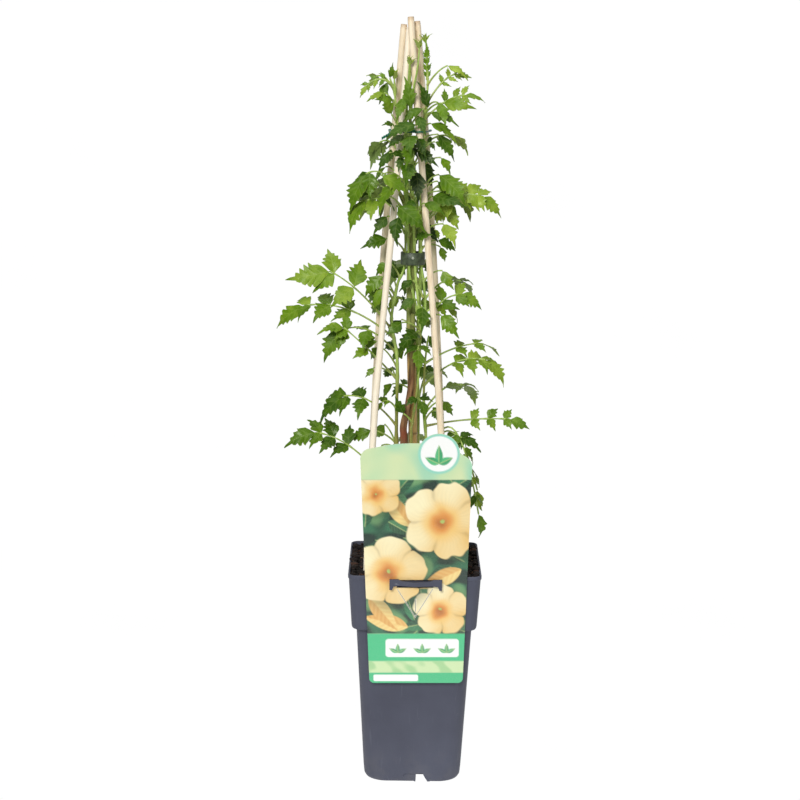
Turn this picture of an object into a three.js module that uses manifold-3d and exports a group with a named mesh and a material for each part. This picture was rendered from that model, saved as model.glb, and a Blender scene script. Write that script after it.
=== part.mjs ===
// A young trumpet vine tied up in a square nursery pot: four wooden sticks meet at the top,
// a bamboo cane stands in the middle, and green shoots climb between them.
// Millimetres, +Z up. The origin is the centre of the pot's flat base; the label faces -Y.

import * as THREE from 'three';
import { mergeVertices } from 'three/addons/utils/BufferGeometryUtils.js';
import Module from 'manifold-3d';

const wasm = await Module();
wasm.setup();
const { Manifold, Mesh } = wasm;

// ---- Driving dimensions ----

const GAP = 0.3;                 // clearance kept between pieces that touch

const POT_HEIGHT = 220;
const POT_WALL = 1.5;
const POT_FLOOR = 2;
const POT_CORNER = { foot: 20, rim: 8 };   // plan radius of the pot's corners
// Faces of the pot from the base up: [height, half width].
const POT_OUTSIDE = [
  [0, 42.5], [1.4, 46.4], [5, 48.2], [14, 49],
  [162, 56.9], [163.5, 61], [166, 61.7], [215.5, 64.6], [216, 65.3], [219.4, 65.4], [220, 65],
];
const POT_INSIDE = [
  [POT_FLOOR, 45], [5, 46.7], [14, 47.5], [160.5, 55.3], [165, 60.1], [219.6, 63.4], [220, 63.7],
];
const DRAIN_HOLE = { radius: 3.5, offset: 26, sides: 10 };
// Drain arch in the foot of each side, seen from its own side, from the face to its inner end.
const ARCH = { left: 3.5, right: 16.5, topLeft: 4, topRight: 10.5, height: 10.5, face: -49, end: -25 };
const CASING_START = -46.5;      // the arch's own walls begin inside the thickness of the face

const SOIL_LEVEL = 217;
const SOIL_BUMP = 2.2;

const STICK_RADIUS = 3.2;
const STICK_FOOT = 125;          // height of the buried ends
const STICK_STEPS = 7;
const CANE_RADIUS = 4.3;

const LABEL = { thickness: 0.7, lean: 0.07, backAtRim: -66.2, tilt: 0.013 };
const HOOK = { left: -24.7, right: 26.5, depth: 2.4, back: -67.3 };
const HOOK_NECK = { x: 1, y: -66, z: 213, width: 26, depth: 5.2, height: 2.8 };

const STEM_RADIUS = { foot: 1.8, branch: 1.5, tip: 1 };
const STEM_FOOT = 178;
const RACHIS = { rootWidth: 2.2, tipWidth: 1.4, thickness: 1.5 };
const STRAIGHT_RACHIS = 24;      // a longer bare length bends once more
const LEAF_THICKNESS = 0.7;
const LEAF_WIDTH = 0.6;          // width of a low leaflet for its length
const LEAF_NARROWING = { from: 580, to: 740, factor: 0.62 };   // higher leaflets are narrower
const LEAF_FOLD = 0.28;          // how far its halves rise along the rib
const LEAF_ARCH = 0.09;          // how far its rib bows up
const LEAF_CLEARANCE = 1.9;
const LEAF_FLOOR = 226;          // no leaflet hangs lower
const LABEL_SPACE = { back: -56, top: 370, half: 58 };        // kept free of leaflets
const TERMINAL = { length: 1.4, width: 0.85, droop: 0.4 };    // the leaflet at a frond's end
const LAST_PAIR = 0.93;          // where the last pair stands along a rachis
const RIB_ROOM = 2;              // room kept round the rib of another frond's leaflet
const SWING = { lowest: 1.08, closing: 0.25 };                // pairs from their rachis (radians)
const PAIR_SIZE = { least: 0.82, more: 0.18 };                // the middle pairs are the largest
const CHANCE = { swing: 0.3, lean: 0.8, droop: 0.4 };         // how much leaflets differ by chance

// Centre lines, foot to top, as [x, y, z].
const STICKS = {
  stick_front_left: [
    [-46.5, -42.5, STICK_FOOT], [-48, -43, 205], [-44.8, -38, 300], [-39.9, -30, 398],
    [-28.2, -18, 533], [-19.2, -9, 639], [-11.8, 1, 745],
  ],
  stick_front_right: [
    [31, -42.5, STICK_FOOT], [31.5, -43, 205], [27.8, -38, 300], [20.6, -29.5, 398],
    [9.2, -20.5, 533], [-0.9, -14, 639], [-10.9, -6, 755],
  ],
  stick_back_left: [
    [-46.5, 42, STICK_FOOT], [-48.5, 42.5, 205], [-45.3, 37, 300], [-41.3, 31, 398],
    [-34.8, 22, 528], [-25.8, 14, 639], [-17.1, 6, 748],
  ],
  stick_back_right: [
    [32, 42, STICK_FOOT], [32.5, 42.5, 205], [28, 35, 300], [22.6, 27, 398],
    [14.2, 16, 534], [5.7, 9, 639], [-4.7, 0.5, 751],
  ],
};
const CANE = [[-2.5, 3, 95], [-2.6, 2.6, 205], [-3.4, 2, 345], [-7, 2.4, 464], [-6.9, 2.5, 562]];
const CANE_NODES = [228, 348, 452];
const TRUNK = [
  [-12, -8, 165], [-11.6, -7.5, 300], [-12.2, -7, 343], [-12.8, -7, 357], [-8.2, -7, 382],
  [-5.6, -7, 410], [-5, -6.6, 470],
];
const TRUNK_RADII = [4, 3.7, 3.6, 4.2, 3.4, 3.1, 2.5];

// Green stems, foot to tip. The main stem breaks into three at its node.
const STEMS = {
  main: [[-4, -14, STEM_FOOT], [-5, -13, 338], [-4.2, -12, 362], [0.9, -10.5, 404], [3.3, -9.5, 455]],
  front: [
    [3.3, -9.5, 455], [-0.6, -8.6, 488], [-3.6, -8, 518], [-7, -8, 590], [-10, -9.4, 640],
    [-8, -15.4, 682], [-4, -17, 706], [-2, -15, 729],
  ],
  third: [
    [3.3, -9.5, 455], [-4.6, -8.4, 488], [-9.6, -7.2, 518], [-12, -6.4, 590], [-14, -8.4, 640],
    [-13, -15, 680], [-11.3, -16.5, 713],
  ],
  right: [
    [3.3, -9.5, 455], [6.8, -7, 474], [5.2, -4.6, 500], [2.2, -2.6, 524], [1, -1, 590],
    [1.8, -1.6, 640], [5.6, -3.4, 676], [6, -5.4, 706], [3.8, -6, 734],
  ],
  left: [
    [-18.5, -2, STEM_FOOT], [-19.8, -4, 340], [-19.8, -4.6, 380], [-20, -5, 425], [-25.6, -3.4, 457],
    [-25, -3, 474], [-20, -2.6, 500], [-13.4, -2, 521], [-14.6, -1, 590], [-20.4, -0.6, 640],
    [-24.6, -2, 676], [-26, -3, 700],
  ],
  back: [
    [0, 14, STEM_FOOT], [2, 14, 340], [0, 12, 430], [1.6, 7, 490], [1.4, 3, 524], [-3, 5, 590],
    [-9.4, 9, 640], [-10.8, 16, 684], [-9, 17, 722],
  ],
  low: [[12, -4, STEM_FOOT], [10, -5, 330], [7.4, -3, 372], [7, -2, 410], [9.6, -1.4, 441]],
};

// Each leafy node is grown from its stems, and its leaves keep to its own quarter round the axis.
const AXIS_X = -8;
const SHOOTS = {
  shoot_main: ['main', 'front', 'third', 'right'],
  shoot_left: ['left'],
  shoot_back: ['back'],
  shoot_low: ['low'],
};
const LOW_SHOOT_TOP = 449;       // the low shoot's leaves stay under this height, the main's above

// Leaves that stand alone on their stalks: [stem, height on it, end of the stalk, lift, length,
// face, droop, turn]. lift bows the stalk up, face turns the blade to the front (degrees), droop
// hangs it, and turn swings it to a side of its stalk (degrees).
const SINGLES = [
  ['left', 486, [-34, -2, 506], 2, 20, 60, 0.9, 10],
  ['left', 480, [-38, -12, 504], 3, 25, 60, 1.5, -20],
  ['left', 494, [-24, 4, 503], 0, 14, 60, -1.5, 0],
  ['left', 404, [-43, -14, 417], 4, 9, 60, 0.8, 0],
  ['left', 686, [-30, -6, 697], 0, 11, 80, -0.9, 35],
  ['left', 668, [-27, -5, 677], 0, 14, 60, 0.3, -20],
  ['left', 652, [-28, -8, 663], 0, 18, 60, -0.8, 0],
  ['left', 645, [-27, -9, 654], 0, 11, 60, 0.2, 0],
  ['left', 548, [-31, -8, 565], 5, 23, 40, 0.4, 0],
  ['left', 530, [-31, -5, 543], 4, 20, 50, -0.3, 0],
  ['third', 594, [-37, -40, 607], 7, 26, 45, 0.2, 165],
  ['third', 566, [-37, -38, 588], 6, 19, 45, 0.4, 150],
  ['left', 566, [-42, -10, 596], 6, 20, 40, 0.7, -20],
  ['left', 464, [-36, 8, 482], 3, 16, 60, 1, 0],
  ['left', 416, [-36, 6, 434], 3, 14, 60, 0.9, 0],
  ['left', 590, [-33, 8, 612], 6, 20, 30, 0.8, -30],

  ['third', 658, [-10, -18, 669], 1, 22, 60, -1.1, -55],
  ['front', 650, [-4, -23, 654], 1, 26, 50, -0.5, 88],
  ['right', 660, [2, -17, 669], 1, 18, 50, 0.6, 70],
  ['right', 656, [6, -11, 670], 0, 19, 60, -1, -40],
  ['right', 664, [21, -8, 674], 3, 24, 50, -0.4, 0],
  ['right', 652, [9, -11, 665], 4, 22, 40, 0, -40],
  ['right', 650, [9, -14, 655], 1, 24, 40, 0.4, -40],
  ['third', 550, [-20, -27, 567], 6, 21, 50, 1.6, 0],
  ['third', 562, [-22, -30, 577], 5, 28, 60, -0.2, -95],
  ['front', 532, [-3, -22, 545], 3, 13, 50, -0.6, -60],
  ['front', 592, [-4, -20, 610], 5, 23, 50, 1.9, 0],
  ['right', 568, [12, -10, 585], 3, 28, 50, 0.3, -15],
  ['right', 588, [18, -9, 606], 4, 29, 50, 0.7, 0],
  ['right', 612, [20, -4, 622], 3, 14, 50, 1.2, 0],
  ['front', 616, [-3, -21, 629], 2, 21, 60, 0.8, -80],
  ['right', 552, [33, -15, 577], 6, 19, 70, 0, 150],
  ['right', 532, [18, 4, 541], 3, 17, 30, 0, 0],
  ['right', 540, [14, 4, 552], 2, 11, 60, 1.4, 0],
  ['right', 534, [21, 11, 534], 3, 12, 60, 1.2, 0],
  ['third', 610, [-18, -22, 624], 2, 12, 50, 1.6, 0],
  ['third', 614, [-13, -22, 625], 1, 14, 60, -0.2, 60],
  ['third', 622, [-12, -20, 638], 1, 15, 60, 1, 40],
  ['front', 560, [4, -28, 580], 4, 18, 60, 0.7, -40],
  ['third', 632, [-16, -18, 644], 3, 18, 60, 0.4, 30],
  ['front', 652, [-2, -19, 662], 2, 18, 60, 0.2, 40],
  ['main', 446, [0, -17, 454], 3, 22, 40, 0.8, 65],
  ['main', 474, [-4, -14, 486], 2, 14, 60, 0.8, 30],
  ['main', 362, [-13, -16, 372], 1, 14, 70, -1.2, 0],

  ['back', 462, [-8, 24, 474], 3, 16, 70, 1, 60],
  ['back', 566, [-8, 20, 586], 4, 24, 70, 1.2, 50],
  ['back', 584, [6, 22, 604], 4, 24, 70, 1.2, -50],
  ['back', 534, [2, 22, 550], 4, 20, 70, 0.8, -50],
  ['back', 444, [-16, 20, 460], 4, 18, 70, 0.8, 0],
  ['back', 500, [-14, 16, 514], 2, 15, 70, 1, -30],
  ['back', 490, [2, 18, 502], 2, 15, 70, 1, 40],
  ['back', 470, [6, 20, 482], 3, 16, 70, 0.9, 0],
  ['back', 448, [6, 20, 462], 3, 16, 70, 0.9, 30],
  ['back', 420, [-14, 22, 432], 3, 15, 70, 0.8, 0],
  ['back', 404, [2, 18, 416], 3, 15, 70, 0.9, 20],
  ['back', 478, [-6, 18, 501], 2, 16, 70, 1.4, 0],
  ['back', 456, [-8, 16, 467], 1, 14, 70, -1.4, 0],
  ['back', 508, [9, 24, 522], 2, 17, 75, 1.2, 0],

  ['low', 368, [26, -5, 383], 4, 13, 60, 1, 0],
];

// Fronds: [stem, height on it, end of the rachis, lift, pairs, length, face, droop, first], where
// pairs counts the pairs of leaflets and first is where the lowest stands along the rachis.
const FRONDS = [
  ['left', 452, [-86, -10, 511], 7, 2, 32, 60, 0.4, 0.62],
  ['left', 445, [-112, 4, 475], 12, 3, 27, 30, 0.2, 0.48],
  ['left', 404, [-72, -24, 458], 2, 2, 20, 50, 0.2, 0.55],
  ['left', 430, [-76, -19, 454], 12, 2, 25, 30, 0.6, 0.5],
  ['left', 357, [-72, -18, 389], 10, 2, 26, 30, 0.5, 0.62],
  ['left', 284, [-99, -12, 351], 14, 3, 25, 45, 0.1, 0.6],
  ['left', 580, [-52, -12, 606], 12, 1, 30, 35, 1.1, 0.9],
  ['left', 556, [-51, -14, 581], 10, 1, 26, 35, 0.6, 0.85],
  ['left', 612, [-30, -5, 626], 4, 1, 15, 40, 0.9, 0.7],
  ['left', 688, [-52, -4, 690], 7, 3, 10, 60, 0.2, 0.4],
  ['left', 434, [-25, 6, 441], 1, 1, 13, 60, 0.8, 0.8],
  ['left', 402, [-26, 5, 414], 2, 1, 12, 60, 0.9, 0.8],
  ['left', 374, [-34, -20, 384], 4, 1, 14, 30, 0.5, 0.6],
  ['left', 574, [-48, 24, 590], 16, 2, 25, -25, 0.8, 0.5],
  ['left', 622, [-40, 16, 634], 8, 2, 20, -25, 0.9, 0.5],
  ['left', 684, [-44, 12, 698], 6, 2, 12, -40, 0.2, 0.5],

  ['right', 672, [34, -1, 702], 6, 3, 11, 60, 0.1, 0.5],
  ['right', 658, [42, -4, 682], 5, 3, 15, 60, 0, 0.5],
  ['right', 628, [14, -2, 637], 2, 1, 10, 50, 0.2, 0.6],
  ['right', 696, [4.8, -7, 718], 0, 4, 9, 80, -1.2, 0.1],
  ['right', 556, [60, -2, 585], 12, 3, 21, 50, 0.3, 0.62],
  ['right', 558, [28, -5, 571], 6, 1, 15, 40, 0.7, 0.7],
  ['front', 456, [39, -6, 489], 8, 2, 20, 60, 0.1, 0.55],
  ['right', 484, [42, 18, 500], 8, 2, 18, -20, 0.3, 0.6],
  ['right', 470, [26, 0, 478], 3, 1, 17, 30, 0.5, 0.6],
  ['right', 574, [42, 26, 590], 14, 2, 25, -25, 0.8, 0.5],
  ['right', 632, [32, 8, 642], 5, 2, 17, -10, 0.4, 0.55],
  ['main', 430, [0, -42, 440], 6, 1, 18, 25, 0.6, 0.6],
  ['main', 374, [3, -40, 390], 6, 1, 16, 25, 0.4, 0.6],

  ['back', 306, [-4, 64, 334], 12, 2, 23, -25, 0.4, 0.5],
  ['back', 376, [16, 66, 402], 12, 2, 23, -25, 0.4, 0.5],
  ['back', 384, [-24, 36, 392], 4, 1, 17, 40, 0.5, 0.6],
  ['back', 430, [-3, 17, 443], 2, 1, 17, 60, 0.9, 0.8],
  ['back', 472, [-32, 38, 480], 4, 1, 18, 40, 0.6, 0.6],
  ['back', 492, [-22, 62, 512], 12, 2, 24, -25, 0.5, 0.5],
  ['back', 548, [6, 56, 566], 14, 2, 26, -25, 0.8, 0.5],
  ['back', 576, [-30, 54, 592], 14, 3, 27, -25, 0.8, 0.45],
  ['back', 634, [-18, 44, 648], 8, 2, 23, -25, 0.6, 0.5],
  ['back', 702, [-12, 26, 730], 2, 2, 12, -40, 0, 0.4],

  ['low', 357, [92, -8, 366], 3, 3, 16, 50, 0, 0.55],
  ['low', 398, [66, -18, 427], 10, 3, 23, 25, 0.4, 0.5],
  ['low', 420, [60, 8, 439], 4, 2, 18, 20, 0.2, 0.6],
  ['low', 334, [45, -18, 349], 4, 2, 17, 30, 0.3, 0.6],
  ['low', 316, [62, -36, 276], 62, 4, 17, 20, 0.9, 0.58],
  ['low', 322, [61, -18, 296], 44, 3, 16, 20, 0.9, 0.62],
  ['low', 432, [11, 6, 446], 2, 1, 17, 60, 1.1, 0.7],
  ['low', 402, [8, 6, 416], 2, 1, 12, 60, 0.7, 0.8],
  ['low', 378, [5, -6, 386], 1, 1, 9, 60, 0, 0.8],
  ['low', 362, [19, -8, 374], 3, 1, 11, 60, 0.8, 0.7],
  ['low', 372, [48, 34, 392], 10, 2, 21, -25, 0.4, 0.5],
];

// Half outlines of a leaflet as [along, across], from a length up: shoulder, tooth and notch.
const LEAF_OUTLINES = [
  { length: 36, half: [[0.26, 0.46], [0.6, 0.46], [0.64, 0.24]] },
  { length: 27, half: [[0.42, 0.5], [0.52, 0.28]] },
  { length: 0, half: [[0.42, 0.48]] },
];

// ---- Small tools ----

const { degToRad } = THREE.MathUtils;
const vec = (x, y, z) => new THREE.Vector3(x, y, z);
const UP = vec(0, 0, 1);

function geometryOf(positions, indices) {
  const geometry = new THREE.BufferGeometry();
  geometry.setAttribute('position', new THREE.Float32BufferAttribute(positions, 3));
  geometry.setIndex(indices);
  return geometry;
}

function solidOf(source) {
  const bare = source.clone();
  bare.deleteAttribute('normal');
  bare.deleteAttribute('uv');
  const merged = mergeVertices(bare, 1e-4);
  return new Manifold(new Mesh({
    numProp: 3,
    vertProperties: new Float32Array(merged.attributes.position.array),
    triVerts: new Uint32Array(merged.index.array),
  }));
}

function geometryFrom(solid) {
  const mesh = solid.getMesh();
  return geometryOf(mesh.vertProperties, Array.from(mesh.triVerts));
}

// Repeatable scatter from 0 to 1 for a whole number.
function scatter(n) {
  const value = Math.sin(n * 12.9898 + 78.233) * 43758.5453;
  return value - Math.floor(value);
}

// Closed solid through rings of equal count, with a fan over each end.
function loft(rings) {
  const count = rings[0].length;
  const positions = rings.flat().flatMap((p) => [p.x, p.y, p.z]);
  const indices = [];
  for (let r = 0; r + 1 < rings.length; r++) {
    for (let i = 0; i < count; i++) {
      const a = r * count + i;
      const b = r * count + (i + 1) % count;
      indices.push(a, b, b + count, a, b + count, a + count);
    }
  }
  for (const [ring, flip] of [[0, true], [rings.length - 1, false]]) {
    const centre = positions.length / 3;
    const middle = rings[ring].reduce((sum, p) => sum.add(p), vec(0, 0, 0)).divideScalar(count);
    positions.push(middle.x, middle.y, middle.z);
    for (let i = 0; i < count; i++) {
      const a = ring * count + i;
      const b = ring * count + (i + 1) % count;
      if (flip) indices.push(b, a, centre);
      else indices.push(a, b, centre);
    }
  }
  return geometryOf(positions, indices);
}

// Square ring with rounded corners, counter-clockwise seen from above.
function squareRing(half, corner, z, steps = 3) {
  const points = [];
  for (let quarter = 0; quarter < 4; quarter++) {
    for (let i = 0; i <= steps; i++) {
      const angle = (quarter + i / steps) * Math.PI / 2;
      const sx = quarter === 0 || quarter === 3 ? 1 : -1;
      const sy = quarter < 2 ? 1 : -1;
      points.push(vec(sx * (half - corner) + corner * Math.cos(angle),
        sy * (half - corner) + corner * Math.sin(angle), z));
    }
  }
  return points;
}

const curveThrough = (points) =>
  new THREE.CatmullRomCurve3(points.map((p) => vec(...p)), false, 'catmullrom', 0.5);

// Points along the smooth line through the given ones.
function smooth(points, steps) {
  return curveThrough(points).getPoints(steps);
}

// Point at height z on a line that only climbs.
function pointAt(line, z) {
  let i = 0;
  while (i + 2 < line.length && line[i + 1].z < z) i++;
  const t = (z - line[i].z) / (line[i + 1].z - line[i].z);
  return line[i].clone().lerp(line[i + 1], t);
}

// Tapering round bar along a line, from its first to its last radius or through a list of radii.
function bar(line, radii, sides) {
  const tangents = line.map((p, i) => {
    const next = line[Math.min(i + 1, line.length - 1)];
    return next.clone().sub(line[Math.max(i - 1, 0)]).normalize();
  });
  let side = Math.abs(tangents[0].z) > 0.9 ? vec(1, 0, 0) : vec(0, 0, 1);
  const rings = line.map((p, i) => {
    side = side.clone().addScaledVector(tangents[i], -side.dot(tangents[i])).normalize();
    const across = tangents[i].clone().cross(side);
    const place = i / (line.length - 1) * (radii.length - 1);
    const low = Math.min(Math.floor(place), radii.length - 2);
    const radius = THREE.MathUtils.lerp(radii[low], radii[low + 1], place - low);
    return Array.from({ length: sides }, (_, k) => {
      const angle = k / sides * 2 * Math.PI;
      return p.clone().addScaledVector(side, radius * Math.cos(angle))
        .addScaledVector(across, radius * Math.sin(angle));
    });
  });
  return loft(rings);
}

// Round rod of one thickness along a curve.
function rod(curve, radius, sides, steps) {
  const section = new THREE.Shape();
  for (let k = 0; k < sides; k++) {
    const angle = k / sides * 2 * Math.PI;
    const [x, y] = [radius * Math.cos(angle), radius * Math.sin(angle)];
    if (k === 0) section.moveTo(x, y);
    else section.lineTo(x, y);
  }
  return new THREE.ExtrudeGeometry(section, { steps, extrudePath: curve, bevelEnabled: false });
}

function prism(outline, height) {
  const shape = new THREE.Shape(outline.map(([x, y]) => new THREE.Vector2(x, y)));
  return new THREE.ExtrudeGeometry(shape, { depth: height, bevelEnabled: false });
}

// ---- Pot ----

function cornerAt(z) {
  return THREE.MathUtils.lerp(POT_CORNER.foot, POT_CORNER.rim, z / POT_HEIGHT);
}

// Rings of the pot's inner face, drawn in by a gap and cut off at a height.
function innerRings(gap, top) {
  const kept = POT_INSIDE.filter(([z]) => z < top);
  const [[z0, w0], [z1, w1]] = [kept.at(-1), POT_INSIDE[kept.length] ?? kept.at(-1)];
  const last = z1 > z0 ? [[top, w0 + (w1 - w0) * (top - z0) / (z1 - z0)]] : [];
  const rings = [...kept, ...last].map(([z, half]) => squareRing(half - gap, cornerAt(z) - POT_WALL, z));
  rings[0].forEach((p) => p.setZ(p.z + gap));
  return rings;
}

// Block along a side's drain arch, grown by a margin, lying from the side's foot inwards.
function archBlock(grow, from, to, bottom) {
  const outline = [
    [ARCH.left - grow, bottom], [ARCH.right + grow, bottom],
    [ARCH.topRight + grow, ARCH.height + grow], [ARCH.topLeft - grow, ARCH.height + grow],
  ];
  const block = prism(outline, to - from);
  block.rotateX(Math.PI / 2);
  block.translate(0, to, 0);
  return block;
}

function onEachSide(makeGeometry) {
  return [0, 1, 2, 3].map((quarter) => {
    const geometry = makeGeometry();
    geometry.rotateZ(quarter * Math.PI / 2);
    return solidOf(geometry);
  });
}

// T-shaped hook on the collar: a neck through the label's slot and a sagging bar in front of it.
function hookParts() {
  const { left, right, depth } = HOOK;
  const outline = [
    [left, 207.5], [left + 2.6, 207.2], [left + 4, 210.8], [left + 9, 211.6], [0, 210.6],
    [right - 9, 211.4], [right - 4, 210.8], [right - 2.4, 207], [right, 207.2],
    [right, 217.8], [right - 8, 217.8], [right - 12, 216], [0, 214.9],
    [left + 12, 216.2], [left + 8, 218], [left, 217.8],
  ];
  const front = prism(outline, depth);
  front.rotateX(Math.PI / 2);
  front.translate(0, HOOK.back, 0);
  const neck = new THREE.BoxGeometry(HOOK_NECK.width, HOOK_NECK.depth, HOOK_NECK.height);
  neck.translate(HOOK_NECK.x, HOOK_NECK.y, HOOK_NECK.z);
  return [front, neck];
}

function pot() {
  const outside = POT_OUTSIDE.map(([z, half]) => squareRing(half, cornerAt(z), z));
  const inside = innerRings(0, POT_HEIGHT + 1).reverse();
  const shell = solidOf(loft([...outside, ...inside]));
  const casings = onEachSide(() => archBlock(POT_WALL, CASING_START, ARCH.end + POT_WALL, 1));
  const arches = onEachSide(() => archBlock(0, ARCH.face - 10, ARCH.end, -1));
  const holes = onEachSide(() => {
    const hole = new THREE.CylinderGeometry(DRAIN_HOLE.radius, DRAIN_HOLE.radius, 8, DRAIN_HOLE.sides);
    hole.rotateX(Math.PI / 2);
    hole.translate(DRAIN_HOLE.offset, DRAIN_HOLE.offset, 0);
    return hole;
  });
  const solid = Manifold.union([shell, ...casings, ...hookParts().map(solidOf)]);
  return solid.subtract(Manifold.union([...arches, ...holes]));
}

// ---- Soil ----

function soilHeight(x, y) {
  const waves = Math.sin(x * 0.21 + 1) * Math.cos(y * 0.17) + 0.6 * Math.sin(x * 0.09 - y * 0.33 + 2);
  return SOIL_LEVEL + SOIL_BUMP * waves;
}

function soil(holes) {
  const walls = innerRings(GAP, SOIL_LEVEL - 3);
  const edge = walls.at(-1);
  const top = [0.98, 0.74, 0.44, 0.16].map((scale) => edge.map((p) => {
    const [x, y] = [p.x * scale, p.y * scale];
    return vec(x, y, soilHeight(x, y));
  }));
  const body = solidOf(loft([...walls, ...top]));
  const around = POT_WALL + GAP;
  const casings = onEachSide(() => archBlock(around, ARCH.face - 10, ARCH.end + around, 1));
  return body.subtract(Manifold.union([...casings, ...holes]));
}

// Plain hole along the line of a bar or stem that stands in the soil.
function socket(line, radius, sides) {
  const top = SOIL_LEVEL + 20;
  const [foot, ...buried] = line.filter((p) => p.z < top);
  const width = radius + GAP + 0.2;
  const stations = [foot.clone().setZ(foot.z - 2 * GAP), ...buried, pointAt(line, top)];
  return solidOf(bar(stations, [width, width], sides));
}

// ---- Sticks, cane, trunk, ties ----

// Line and radii of the cane, which swells a little at each of its nodes.
function caneStations() {
  const line = smooth(CANE, 120);
  const stations = [line[0]];
  const radii = [CANE_RADIUS];
  for (const node of CANE_NODES) {
    for (const [offset, swell] of [[-4, 0], [0, 0.6], [4, 0]]) {
      stations.push(pointAt(line, node + offset));
      radii.push(CANE_RADIUS + swell);
    }
  }
  stations.push(line.at(-1));
  radii.push(CANE_RADIUS);
  return { stations, radii };
}

const BAND = { x: -5.8, y: -1.3, halfWidth: 10.9, halfDepth: 9.4, thickness: 1, bottom: 518, height: 12 };

function band() {
  const { x, y, halfWidth, halfDepth, thickness, bottom, height } = BAND;
  const shape = new THREE.Shape();
  shape.absellipse(x, y, halfWidth + thickness, halfDepth + thickness, 0, 2 * Math.PI);
  const hole = new THREE.Path();
  hole.absellipse(x, y, halfWidth, halfDepth, 0, 2 * Math.PI, true);
  shape.holes.push(hole);
  const strap = new THREE.ExtrudeGeometry(shape, { depth: height, bevelEnabled: false, curveSegments: 10 });
  strap.translate(0, 0, bottom);
  const stud = new THREE.CylinderGeometry(1.4, 1.4, 1.4, 6);
  stud.translate(x, y - halfDepth - thickness - 0.3, bottom + height * 0.6);
  return solidOf(strap).add(solidOf(stud));
}

const WIRE = {
  height: 647, radius: 0.9, spare: 1.1, knot: 2.4,
  tail: [[-26.4, -3.6, 646.6], [-31, -6, 643.5], [-37, -6, 640]],
};

// The four sticks' centres at a height, in order round the bundle.
function stickCentres(z) {
  const order = ['stick_front_left', 'stick_front_right', 'stick_back_right', 'stick_back_left'];
  return order.map((name) => pointAt(smooth(STICKS[name], 60), z));
}

// Closed line round the four sticks, a little clear of them.
function wireLine() {
  const centres = stickCentres(WIRE.height);
  const reach = STICK_RADIUS + WIRE.radius + WIRE.spare;
  const line = [];
  centres.forEach((centre, i) => {
    const before = centres[(i + 3) % 4];
    const after = centres[(i + 1) % 4];
    for (const [a, b] of [[before, centre], [centre, after]]) {
      const along = b.clone().sub(a).setZ(0).normalize();
      const out = vec(along.y, -along.x, 0);
      line.push(centre.clone().setZ(WIRE.height).addScaledVector(out, reach));
    }
    const corner = line.at(-1).clone().add(line.at(-2)).multiplyScalar(0.5).sub(centre).setZ(0);
    line.splice(-1, 0, centre.clone().setZ(WIRE.height).add(corner.setLength(reach)));
  });
  return line;
}

function wireTie() {
  const line = wireLine();
  const sides = 5;
  const count = line.length;
  const positions = [];
  const indices = [];
  line.forEach((p, i) => {
    const along = line[(i + 1) % count].clone().sub(line[(i + count - 1) % count]).normalize();
    const out = along.clone().cross(UP);
    for (let k = 0; k < sides; k++) {
      const angle = k / sides * 2 * Math.PI;
      const q = p.clone().addScaledVector(out, WIRE.radius * Math.cos(angle))
        .addScaledVector(UP, WIRE.radius * Math.sin(angle));
      positions.push(q.x, q.y, q.z);
      const [a, b] = [i * sides + k, i * sides + (k + 1) % sides];
      const [c, d] = [((i + 1) % count) * sides + k, ((i + 1) % count) * sides + (k + 1) % sides];
      indices.push(a, d, b, a, c, d);
    }
  });
  const loop = solidOf(geometryOf(positions, indices));
  const tail = solidOf(bar(smooth(WIRE.tail, 4), [WIRE.radius, WIRE.radius], 5));
  const knot = new THREE.IcosahedronGeometry(WIRE.knot, 0);
  knot.translate(...WIRE.tail[0]);
  return Manifold.union([loop, tail, solidOf(knot)]);
}

// ---- Label ----

// Card hung on the hook: tapering sides, arched top and a round tab at the right of it.
function label() {
  const shape = new THREE.Shape();
  const [bottom, top] = [-111, 132];
  const tab = { x: 21.8, y: 125, radius: 20 };
  const [bottomHalf, topHalf] = [46.2, 53.6];
  const corner = 5;
  shape.moveTo(-bottomHalf + corner, bottom);
  shape.lineTo(bottomHalf - corner, bottom);
  shape.absarc(bottomHalf - corner, bottom + corner, corner, -Math.PI / 2, 0, false);
  shape.lineTo(topHalf, 112);
  shape.quadraticCurveTo(topHalf, 119, 46, 123);
  shape.absarc(tab.x, tab.y, tab.radius, 0.04, Math.PI - 0.55, false);
  shape.quadraticCurveTo(-20, 136, -36, top);
  shape.absarc(-topHalf + 10.5, top - 12, 10.5, Math.PI / 2, Math.PI, false);
  shape.lineTo(-bottomHalf, bottom + corner);
  shape.absarc(-bottomHalf + corner, bottom + corner, corner, Math.PI, 1.5 * Math.PI, false);
  const slot = [[-19, -11], [17, -11], [17, -3], [-19, -3]];
  const tongue = [[-18.4, -12.5], [-17.5, -12.5], [-1, -40.2], [15.5, -12.5], [16.4, -12.5], [-1, -41.8]];
  const slit = [[-0.9, -23], [-0.3, -23], [-0.3, -36], [-0.9, -36]];
  for (const hole of [slot, tongue, slit]) {
    shape.holes.push(new THREE.Path(hole.map(([x, y]) => new THREE.Vector2(x, y))));
  }
  const card = new THREE.ExtrudeGeometry(shape, {
    depth: LABEL.thickness, bevelEnabled: false, curveSegments: 4,
  });
  card.rotateZ(LABEL.tilt);
  card.rotateX(Math.PI / 2 + Math.atan(LABEL.lean));
  card.translate(1.2, LABEL.backAtRim, POT_HEIGHT);
  return card;
}

// ---- Vine ----

const stemLines = Object.fromEntries(
  Object.entries(STEMS).map(([name, points]) => [name, points.map((p) => vec(...p))]));
const shootOf = Object.fromEntries(
  Object.entries(SHOOTS).flatMap(([shoot, stems]) => stems.map((stem) => [stem, shoot])));

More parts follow.
